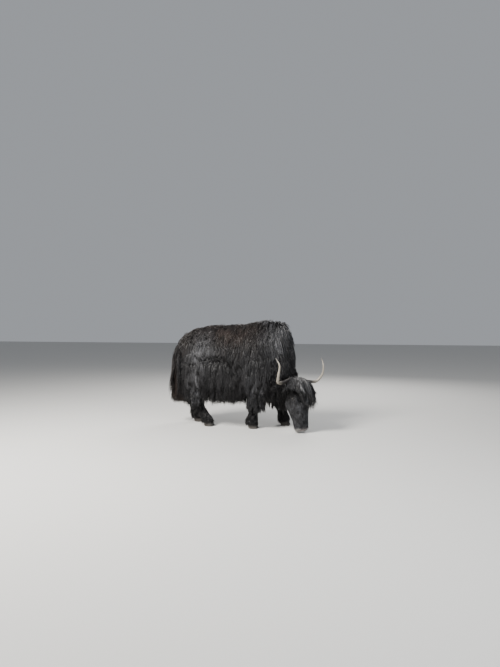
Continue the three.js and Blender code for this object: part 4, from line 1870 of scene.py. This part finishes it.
@dataclass(frozen=True)
class CoatFinish:
    """The coat's look: black hair, browner where the sun has bleached it, with a painted grey sheen and
    painted glints.
    """

    black: Color = rgba(0.0046, 0.0044, 0.0050)
    brown: Color = rgba(0.028, 0.0175, 0.0125)
    # Grey is the colour of the painted sheen; pale is the muzzle's own pale hair and the brightest painted
    # glints.
    grey: Color = rgba(0.120, 0.121, 0.130)
    pale: Color = rgba(0.42, 0.40, 0.38)
    streak_scale: Triple = (15.0, 1.6, 1.0)
    patch_scale: float = 6.0
    bump: float = 0.9
    bump_height: float = 0.0015
    specular: float = 0.30

    def build(self) -> bpy.types.Material:
        """Make the coat's material.

        Returns:
            The material.
        """
        material, g, shader = new_material("coat")
        tone, along, brown, grey = g.hair()
        streak = g.streaks(g.map(), self.streak_scale, 3.0)
        patch = g.noise(g.place(), self.patch_scale, 4.0)
        color = g.mix(g.times(brown, g.ramp(tone, 0.45, 1.25)), self.black, self.brown)
        # Mix in the painted sheen: grey where the hair data's grey mark is high.
        grey_and_sheen = g.times(g.times(grey, 1.5), g.times(patch, g.ramp(tone, 0.1, 1.7)))
        color = g.mix(g.clamp(grey_and_sheen), color, self.grey)
        # Pale for the muzzle's own hair, and for painted glints where the grey mark passes one half.
        color = g.mix(g.span(grey, 0.5, 1.0), color, self.pale)
        light = g.times(g.ramp(tone, 0.45, 1.5), g.ramp(streak, 0.25, 1.75))
        light = g.times(light, g.ramp(along, 0.75, 1.45))
        shade = g.node("ShaderNodeCombineColor")
        for socket in shade.inputs:
            g.feed(socket, light)
        g.feed(shader.inputs["Base Color"], g.mix(1.0, color, shade.outputs[0], "MULTIPLY"))
        g.feed(shader.inputs["Roughness"], g.ramp(streak, 0.28, 0.46))
        g.bump(shader, streak, self.bump, self.bump_height)
        shader.inputs["Specular IOR Level"].default_value = self.specular
        return material


@dataclass(frozen=True)
class SkinFinish:
    """The skin's look: black hide under the coat, a moist pebbled nose and dull lips."""

    hide: Color = rgba(0.008, 0.0075, 0.008)
    nose: Color = rgba(0.012, 0.011, 0.0115)
    brown: Color = rgba(0.034, 0.021, 0.014)
    # Grey is the colour of the painted sheen carried over from the coat.
    grey: Color = rgba(0.060, 0.060, 0.064)
    pale: Color = rgba(0.30, 0.26, 0.25)
    patch_scale: float = 22.0
    pebble_scale: float = 480.0
    pebble_edge: float = 0.12
    bump: float = 0.45
    bump_height: float = 0.0018
    specular: float = 0.28
    lip_reach: float = 0.012

    def build(self) -> bpy.types.Material:
        """Make the skin's material.

        Returns:
            The material.
        """
        material, g, shader = new_material("hide")
        place = g.place()
        patch = g.noise(place, self.patch_scale, 5.0)
        pale, nose, brown, grey = g.hair()
        color = g.mix(patch, self.hide, self.nose)
        color = g.mix(brown, color, self.brown)
        # Carry the coat's painted sheen onto the skin, weaker.
        color = g.mix(g.times(grey, 0.35), color, self.grey)
        color = g.mix(g.times(pale, g.ramp(patch, 0.2, 1.5)), color, self.pale)
        g.feed(shader.inputs["Base Color"], color)
        pebble = g.node("ShaderNodeTexVoronoi", feature="DISTANCE_TO_EDGE")
        pebble.inputs["Scale"].default_value = self.pebble_scale
        g.feed(pebble.inputs["Vector"], place)
        rise = g.times(g.math("MINIMUM", pebble.outputs["Distance"], self.pebble_edge), nose)
        g.bump(shader, g.math("ADD", rise, g.times(patch, 0.2)), self.bump, self.bump_height)
        rough = g.math("SUBTRACT", g.ramp(patch, 0.66, 0.80), g.times(nose, 0.30))
        g.feed(shader.inputs["Roughness"], rough)
        shader.inputs["Specular IOR Level"].default_value = self.specular
        return material

    def mark(self, skin: bpy.types.Object) -> None:
        """Write the pale lips, the nose pad and the coat's markings on the skin, the painted sheen
        included.

        Args:
            skin: the skin's object.
        """
        points = coordinates(skin.data)
        brown, grey = markings(points)
        side, front, up = PLACES.to_head(points).T
        lips = np.exp(-(((-up - mouth_line(front)) / self.lip_reach) ** 2))
        pale = lips * (up < -0.50) * (np.abs(side) < 0.09)
        nose = soft_step(-up, 0.495, 0.512) * soft_step(-np.abs(side), -0.072, -0.050)
        nose = nose * soft_step(front, 0.010, 0.028)
        add_hair_data(skin.data, np.stack((pale, nose, brown, grey), axis=1))


@dataclass(frozen=True)
class HornFinish:
    """The horns' look: grey-ivory horn, streaked along its length and darker at both ends."""

    pale: Color = rgba(0.33, 0.295, 0.245)
    dark: Color = rgba(0.022, 0.019, 0.018)
    streak_scale: Triple = (34.0, 3.0, 1.0)
    cloud_scale: float = 18.0
    root_dark: float = 2.45
    root_fade: float = 4.5
    tip_start: float = 0.88
    tip_fade: float = 5.0
    bump: float = 0.35
    bump_height: float = 0.0008

    def build(self) -> bpy.types.Material:
        """Make the horns' material.

        Returns:
            The material.
        """
        material, g, shader = new_material("horn_sheath")
        spot = g.map()
        along = g.parts(spot)[1]
        streak = g.streaks(spot, self.streak_scale, 6.0)
        cloud = g.noise(g.place(), self.cloud_scale, 4.0)
        root = g.math("SUBTRACT", self.root_dark, g.times(along, self.root_fade))
        tip = g.times(g.math("SUBTRACT", along, self.tip_start), self.tip_fade)
        ends = g.math("MAXIMUM", g.math("MAXIMUM", root, tip), 0.0)
        dark = g.math("ADD", g.math("MINIMUM", ends, 0.9), g.times(streak, 0.5))
        dark = g.clamp(g.times(dark, g.ramp(cloud, 0.6, 1.4)))
        g.feed(shader.inputs["Base Color"], g.mix(dark, self.pale, self.dark))
        g.feed(shader.inputs["Roughness"], g.ramp(streak, 0.28, 0.5))
        g.bump(shader, streak, self.bump, self.bump_height)
        return material


@dataclass(frozen=True)
class HoofFinish:
    """The hooves' look: dark dull horn with growth lines and pale dust near the ground."""

    dark: Color = rgba(0.020, 0.017, 0.015)
    dust: Color = rgba(0.060, 0.052, 0.042)
    line_scale: Triple = (8.0, 8.0, 260.0)
    cloud_scale: float = 45.0
    dust_fade: float = 18.0
    bump: float = 0.5
    bump_height: float = 0.001

    def build(self) -> bpy.types.Material:
        """Make the hooves' material.

        Returns:
            The material.
        """
        material, g, shader = new_material("hoof_horn")
        place = g.place()
        lines = g.streaks(place, self.line_scale, 3.0)
        cloud = g.noise(place, self.cloud_scale, 5.0)
        low = g.ramp(g.times(g.parts(place)[2], self.dust_fade), 0.75, 0.05)
        g.feed(shader.inputs["Base Color"], g.mix(g.times(low, cloud), self.dark, self.dust))
        g.feed(shader.inputs["Roughness"], g.ramp(cloud, 0.5, 0.75))
        g.bump(shader, g.math("ADD", lines, g.times(cloud, 0.4)), self.bump, self.bump_height)
        return material


@dataclass(frozen=True)
class EyeFinish:
    """The eyes' look: a dark brown iris round a level pupil, under a wet gloss."""

    iris: Color = rgba(0.016, 0.0075, 0.004)
    pupil: Color = rgba(0.002, 0.002, 0.003)
    white: Color = rgba(0.050, 0.034, 0.028)
    iris_edge: tuple[float, float] = (0.62, 0.72)
    pupil_edge: tuple[float, float] = (0.36, 0.42)
    pupil_flat: float = 1.9
    fibre_scale: float = 14.0
    roughness: float = 0.06
    wet_roughness: float = 0.02

    def build(self) -> bpy.types.Material:
        """Make the eyes' material.

        Returns:
            The material.
        """
        material, g, shader = new_material("eye_wet")
        spot = g.map()
        x, y, _ = g.parts(spot)

        def apart(rise: object) -> bpy.types.NodeSocket:
            """Return how far a spot is from the pupil's middle."""
            return g.math("SQRT", g.math("ADD", g.math("POWER", x, 2.0), g.math("POWER", rise, 2.0)))

        edge = g.span(apart(y), *self.iris_edge, kind="SMOOTHSTEP")
        hole = g.span(apart(g.times(y, self.pupil_flat)), *self.pupil_edge, kind="SMOOTHSTEP")
        iris = g.mix(g.noise(spot, self.fibre_scale, 6.0), self.iris, self.pupil)
        g.feed(shader.inputs["Base Color"], g.mix(edge, g.mix(hole, self.pupil, iris), self.white))
        shader.inputs["Roughness"].default_value = self.roughness
        shader.inputs["Coat Roughness"].default_value = self.wet_roughness
        return material


# The left horn's centre line from inside the skull to its tip, as side, front and up.
HORN_LINE = np.array(
    (
        (0.062, -0.044, 0.014),
        (0.120, -0.032, -0.004),
        (0.187, -0.012, -0.017),
        (0.285, 0.015, -0.018),
        (0.328, 0.084, 0.054),
        (0.327, 0.118, 0.160),
        (0.342, 0.078, 0.251),
    )
)


@dataclass(frozen=True)
class Horn:
    """One horn.

    Attributes:
        name: left or right.
        side: 1 for left, -1 for right.
        root_radius, tip_radius: how thick the horn is at its ends.
        taper: how late it thins, as a power.
        flat: its thickness for its width.
        ring_depth, ring_end: how deep the growth rings are at the root, and how far along they fade out.
        ring_pace, ring_sway, ring_drift: how close they are, and how unevenly they follow each other.
        steps: how many sections it has.
        around: how many points each has.
    """

    name: str
    side: int
    root_radius: float = 0.0265
    tip_radius: float = 0.0026
    taper: float = 1.5
    flat: float = 0.96
    ring_depth: float = 0.0014
    ring_end: float = 0.55
    ring_pace: float = 150.0
    ring_sway: float = 2.1
    ring_drift: float = 31.0
    steps: int = 120
    around: int = 28

    def centre(self, t: float) -> Array:
        """Return the centre line's place at t."""
        out, front, up = smooth_between(HORN_LINE, t)
        return PLACES.head(self.side * out, front, up)

    def section(self, t: float) -> Ring:
        """Lay the horn's section at t, with its growth rings.

        Args:
            t: from 0 at the root to 1 at the tip.

        Returns:
            The section.
        """
        run = unit(self.centre(min(1.0, t + 0.01)) - self.centre(max(0.0, t - 0.01)))
        across = unit(np.cross(run, PLACES.front))
        radius = self.tip_radius + (self.root_radius - self.tip_radius) * (1 - t**self.taper)
        wave = math.sin(t * self.ring_pace + self.ring_sway * math.sin(t * self.ring_drift))
        radius -= self.ring_depth * max(0.0, 1 - t / self.ring_end) * (0.5 + 0.5 * wave)
        rise = radius * self.flat
        return Ring(self.centre(t), across, np.cross(across, run), radius, rise, rise)

    def build(self, finish: bpy.types.Material) -> bpy.types.Object:
        """Model the horn and give it a map: round it and along it.

        Args:
            finish: the horn's material.

        Returns:
            The horn's object.
        """
        loft = Loft()
        loft.add([self.section(float(t)) for t in np.linspace(0, 1, self.steps)], self.around)
        obj = loft.finish("horn_sheath_" + self.name)
        order = corner_vertices(obj.data)
        turn = np.abs((order % self.around) / self.around * 2 - 1)
        add_map(obj.data, STRAND_MAP, np.stack((turn, (order // self.around) / (self.steps - 1)), axis=1))
        shade_smooth(obj.data)
        obj.data.materials.append(finish)
        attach(obj, ROOT)
        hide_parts("horn_" + self.name)
        return obj


@dataclass(frozen=True)
class Eye:
    """One eyeball with its domed cornea.

    Attributes:
        name: left or right.
        side: 1 for left, -1 for right.
        dome: how far the cornea stands out.
        dome_reach: its radius, as a share of the eyeball's.
        around: how many faces go round the eyeball.
    """

    name: str
    side: int
    dome: float = 0.0012
    dome_reach: float = 0.6
    around: int = 48

    def build(self, finish: bpy.types.Material) -> bpy.types.Object:
        """Model the eyeball and give it a map: along the slit and across it.

        Args:
            finish: the eye's material.

        Returns:
            The eyeball's object.
        """
        slit, across, out = gaze(self.side)
        centre = eye_centre(self.side)
        loft = Loft()
        loft.ball(centre, EYE_RADIUS * np.ones(3), (slit, across, out), self.around)
        obj = loft.finish("eyeball_" + self.name)
        points = coordinates(obj.data)
        local = points - centre
        off = np.stack((local @ slit, local @ across), axis=1) / EYE_RADIUS
        ahead = local @ out > 0
        dome = self.dome * np.clip(1 - (off**2).sum(axis=1) / self.dome_reach**2, 0, 1) * ahead
        set_coordinates(obj.data, points + np.outer(dome, out))
        off[~ahead] = 1.0
        add_map(obj.data, STRAND_MAP, off[corner_vertices(obj.data)])
        shade_smooth(obj.data)
        obj.data.materials.append(finish)
        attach(obj, ROOT)
        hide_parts("eye_" + self.name)
        return obj


@dataclass(frozen=True)
class Hoof:
    """One cloven foot: two claws with flat soles and two dewclaws.

    Attributes:
        leg: the leg that the foot belongs to.
        length, half, height: a claw's length, half its width and its height.
        splay: how far the claws' tips turn apart, in radians.
        spacing: how far each claw's middle is from the foot's.
        toe_lean: how far a claw leans back over its height.
        front_share: how much of its length lies in front of its middle.
        narrowing: how much smaller it is at the top, as a share.
        levels: how high its sections are, as a share.
        dewclaw: half the sizes of a dewclaw.
        dewclaw_side, dewclaw_up: where it is.
        dewclaw_back_fore, dewclaw_back_hind: how far behind the foot's middle that is.
    """

    leg: Leg
    length: float = 0.112
    half: float = 0.0248
    height: float = 0.080
    splay: float = 0.09
    spacing: float = 0.031
    toe_lean: float = 0.026
    front_share: float = 0.56
    narrowing: float = 0.2
    levels: tuple[float, ...] = (0.0, 0.015, 0.05, 0.12, 0.22, 0.34, 0.46, 0.58, 0.70, 0.82, 0.92, 1.0)
    dewclaw: Triple = (0.010, 0.0125, 0.017)
    dewclaw_side: float = 0.025
    dewclaw_up: float = 0.082
    dewclaw_back_fore: float = 0.048
    dewclaw_back_hind: float = 0.058

    def build(self, finish: bpy.types.Material) -> bpy.types.Object:
        """Model the foot.

        Args:
            finish: the hoof's material.

        Returns:
            The foot's object.
        """
        forward, left = self.leg.hoof
        back = self.dewclaw_back_fore if self.leg.fore else self.dewclaw_back_hind
        axes = (LEFT, unit(UP * 0.2 - FORWARD * 0.5), unit(UP * 0.9 + FORWARD * 0.35))
        loft = Loft()
        for _, side in SIDES:
            self.claw(loft, side)
            place = PLACES.body(forward - back, left + side * self.dewclaw_side, self.dewclaw_up)
            loft.ball(place, self.dewclaw, axes, 20)
        obj = loft.finish("hoof_" + self.leg.name)
        shade_smooth(obj.data)
        obj.data.materials.append(finish)
        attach(obj, ROOT)
        claws = [f"{self.leg.name}_{kind}claw_{which}" for kind in ("", "dew") for which in "ab"]
        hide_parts(*claws)
        return obj

    def claw(self, loft: Loft, side: int) -> None:
        """Add one claw: a level D, blunt behind, pointed in front and leaning back as it rises.

        Args:
            loft: the foot's loft.
            side: 1 for the left claw, -1 for the right one.
        """
        turn = Matrix.Rotation(side * self.splay, 3, "Z")
        across, ahead = np.array(turn @ Vector(LEFT)), np.array(turn @ Vector(FORWARD))
        foot = PLACES.body(self.leg.hoof[0], self.leg.hoof[1] + side * self.spacing, 0)
        rings = []
        for t in self.levels:
            sole_edge = 0.06 * max(0.0, 1 - t / 0.05)
            size = 1 - self.narrowing * t - 0.02 * math.sin(t * math.pi) - sole_edge
            centre = foot - ahead * self.toe_lean * t + UP * self.height * t * (1 - 0.12 * t)
            toe, heel = self.length * self.front_share * size, self.length * (1 - self.front_share) * size
            rings.append(Ring(centre, across, ahead, self.half * size, toe, heel, 1.7, 2.4))
        loft.add(rings, 36)


@dataclass(frozen=True)
class Viewpoint:
    """Where the photo was taken from and how the camera looked.

    Attributes:
        forward, left, up: the camera's body place.
        turn: how far the animal is turned towards the camera from a square side view, in degrees.
        dip: how far the camera looks below the horizon, in degrees.
        lens, sensor: the focal length, and the size of the picture's long side, in millimetres.
    """

    forward: float = 1.78
    left: float = -6.0
    up: float = 1.204
    turn: float = 15.0
    dip: float = 0.73
    lens: float = 27.5
    sensor: float = 36.0

    def build(self) -> None:
        """Make the camera and choose it for the scene."""
        data = bpy.data.cameras.new("camera")
        data.lens = self.lens
        data.sensor_width = self.sensor
        camera = bpy.data.objects.new("camera", data)
        bpy.context.scene.collection.objects.link(camera)
        turn, dip = math.radians(self.turn), math.radians(self.dip)
        ahead = LEFT * math.cos(turn) - FORWARD * math.sin(turn)
        look = Vector(ahead * math.cos(dip) - UP * math.sin(dip))
        camera.location = PLACES.body(self.forward, self.left, self.up)
        camera.rotation_euler = look.to_track_quat("-Z", "Y").to_euler()
        bpy.context.scene.camera = camera


@dataclass(frozen=True)
class Studio:
    """A plain pale floor and soft light.

    Attributes:
        floor_size, floor_drop: the floor's side, and how far it lies below the soles.
        floor_color, floor_roughness: its paint.
        sky_color, sky_strength: the even light from all round.
        lamps: each lamp's name, body place, size, power and colour.
    """

    floor_size: float = 60.0
    floor_drop: float = 0.0004
    floor_color: Color = rgba(0.52, 0.515, 0.50)
    floor_roughness: float = 0.85
    sky_color: Color = rgba(0.86, 0.90, 0.96)
    sky_strength: float = 0.40
    lamps: tuple[tuple[str, Triple, float, float, Triple], ...] = (
        ("key", (-2.2, -3.6, 4.2), 2.0, 900.0, (1.0, 0.97, 0.92)),
        ("fill", (3.2, -3.6, 2.8), 3.5, 130.0, (0.90, 0.95, 1.0)),
        ("rim", (0.8, 4.5, 3.8), 3.0, 240.0, (1.0, 0.98, 0.95)),
    )

    def build(self) -> None:
        """Make the floor, the lamps and the sky's even light."""
        bm = bmesh.new()
        bmesh.ops.create_grid(bm, x_segments=1, y_segments=1, size=self.floor_size / 2)
        mesh = bpy.data.meshes.new("floor")
        bm.to_mesh(mesh)
        bm.free()
        floor = link("floor", mesh)
        set_coordinates(mesh, coordinates(mesh) - UP * self.floor_drop)
        material, _, shader = new_material("floor_paint")
        shader.inputs["Base Color"].default_value = self.floor_color
        shader.inputs["Roughness"].default_value = self.floor_roughness
        mesh.materials.append(material)
        world = bpy.data.worlds.new("studio")
        world.use_nodes = True
        back = world.node_tree.nodes["Background"]
        back.inputs["Color"].default_value = self.sky_color
        back.inputs["Strength"].default_value = self.sky_strength
        bpy.context.scene.world = world
        for lamp in self.lamps:
            self.lamp(*lamp)

    @staticmethod
    def lamp(name: str, place: Triple, size: float, power: float, color: Triple) -> None:
        """Hang a square soft lamp that points at the animal.

        Args:
            name: its name.
            place: forward, left and up.
            size: its side.
            power: its power in watts.
            color: its colour.
        """
        data = bpy.data.lights.new(name, "AREA")
        data.size, data.energy, data.color = size, power, color
        lamp = bpy.data.objects.new(name, data)
        lamp.location = PLACES.body(*place)
        aim = Vector(PLACES.body(0.1, 0, 0.6)) - lamp.location
        lamp.rotation_euler = aim.to_track_quat("-Z", "Y").to_euler()
        bpy.context.scene.collection.objects.link(lamp)


class Yak:
    """The whole animal: skin, eyes, horns, hooves and coat.

    Attributes:
        flesh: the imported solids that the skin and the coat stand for.
        seed: where the coat's chance starts.
        brownish: the regions of the brown-black coat.
    """

    seed: int = 100
    brownish: tuple[str, ...] = ("back", "flank_left", "flank_right", "tail")
    flesh: tuple[str, ...] = (
        "trunk", "neck", "head", "ear_left", "ear_right", "tail_dock", "tail_switch",
        "fore_left_shoulder", "fore_right_shoulder", "fore_left_shank", "fore_right_shank",
        "hind_left_thigh", "hind_right_thigh", "hind_left_shank", "hind_right_shank",
    )

    def build(self) -> None:
        """Model and dress every piece, in order."""
        skin, hide = Skin().build(), SkinFinish()
        skin.data.materials.clear()
        skin.data.materials.append(hide.build())
        hide.mark(skin)
        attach(skin, ROOT)
        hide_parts(*self.flesh)
        LOG.info("skin: %d faces", len(skin.data.polygons))
        horn, eye, hoof = HornFinish().build(), EyeFinish().build(), HoofFinish().build()
        for name, side in SIDES:
            Horn(name, side).build(horn)
            Eye(name, side).build(eye)
            LOG.info("horn and eye: %s", name)
        for leg in LEGS:
            Hoof(leg).build(hoof)
            LOG.info("hoof: %s", leg.name)
        ground = Ground(skin, self.outline())
        tufts = Tufts(ground, CoatFinish().build())
        total = 0
        for number, region in enumerate(COAT):
            piece = tufts.grow(region, self.seed + number)
            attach(piece, ROOT)
            triangles = len(piece.data.loops) - 2 * len(piece.data.polygons)
            total += triangles
            LOG.info("%s: %d triangles", piece.name, triangles)
        LOG.info("coat: %d triangles in all", total)

    def outline(self) -> BVHTree:
        """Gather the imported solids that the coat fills.

        Returns:
            Their faces, to be searched.
        """
        points: list[Vector] = []
        faces: list[tuple[int, ...]] = []
        for name in self.flesh:
            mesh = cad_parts[name].data
            start = len(points)
            points += [vert.co.copy() for vert in mesh.vertices]
            faces += [tuple(start + index for index in face.vertices) for face in mesh.polygons]
        return BVHTree.FromPolygons(points, faces)


def main() -> None:
    """Build the camera, the studio and the animal."""
    logging.basicConfig(level=logging.INFO, format="%(name)s %(message)s")
    Viewpoint().build()
    Studio().build()
    Yak().build()


if __name__ == "__main__":
    main()
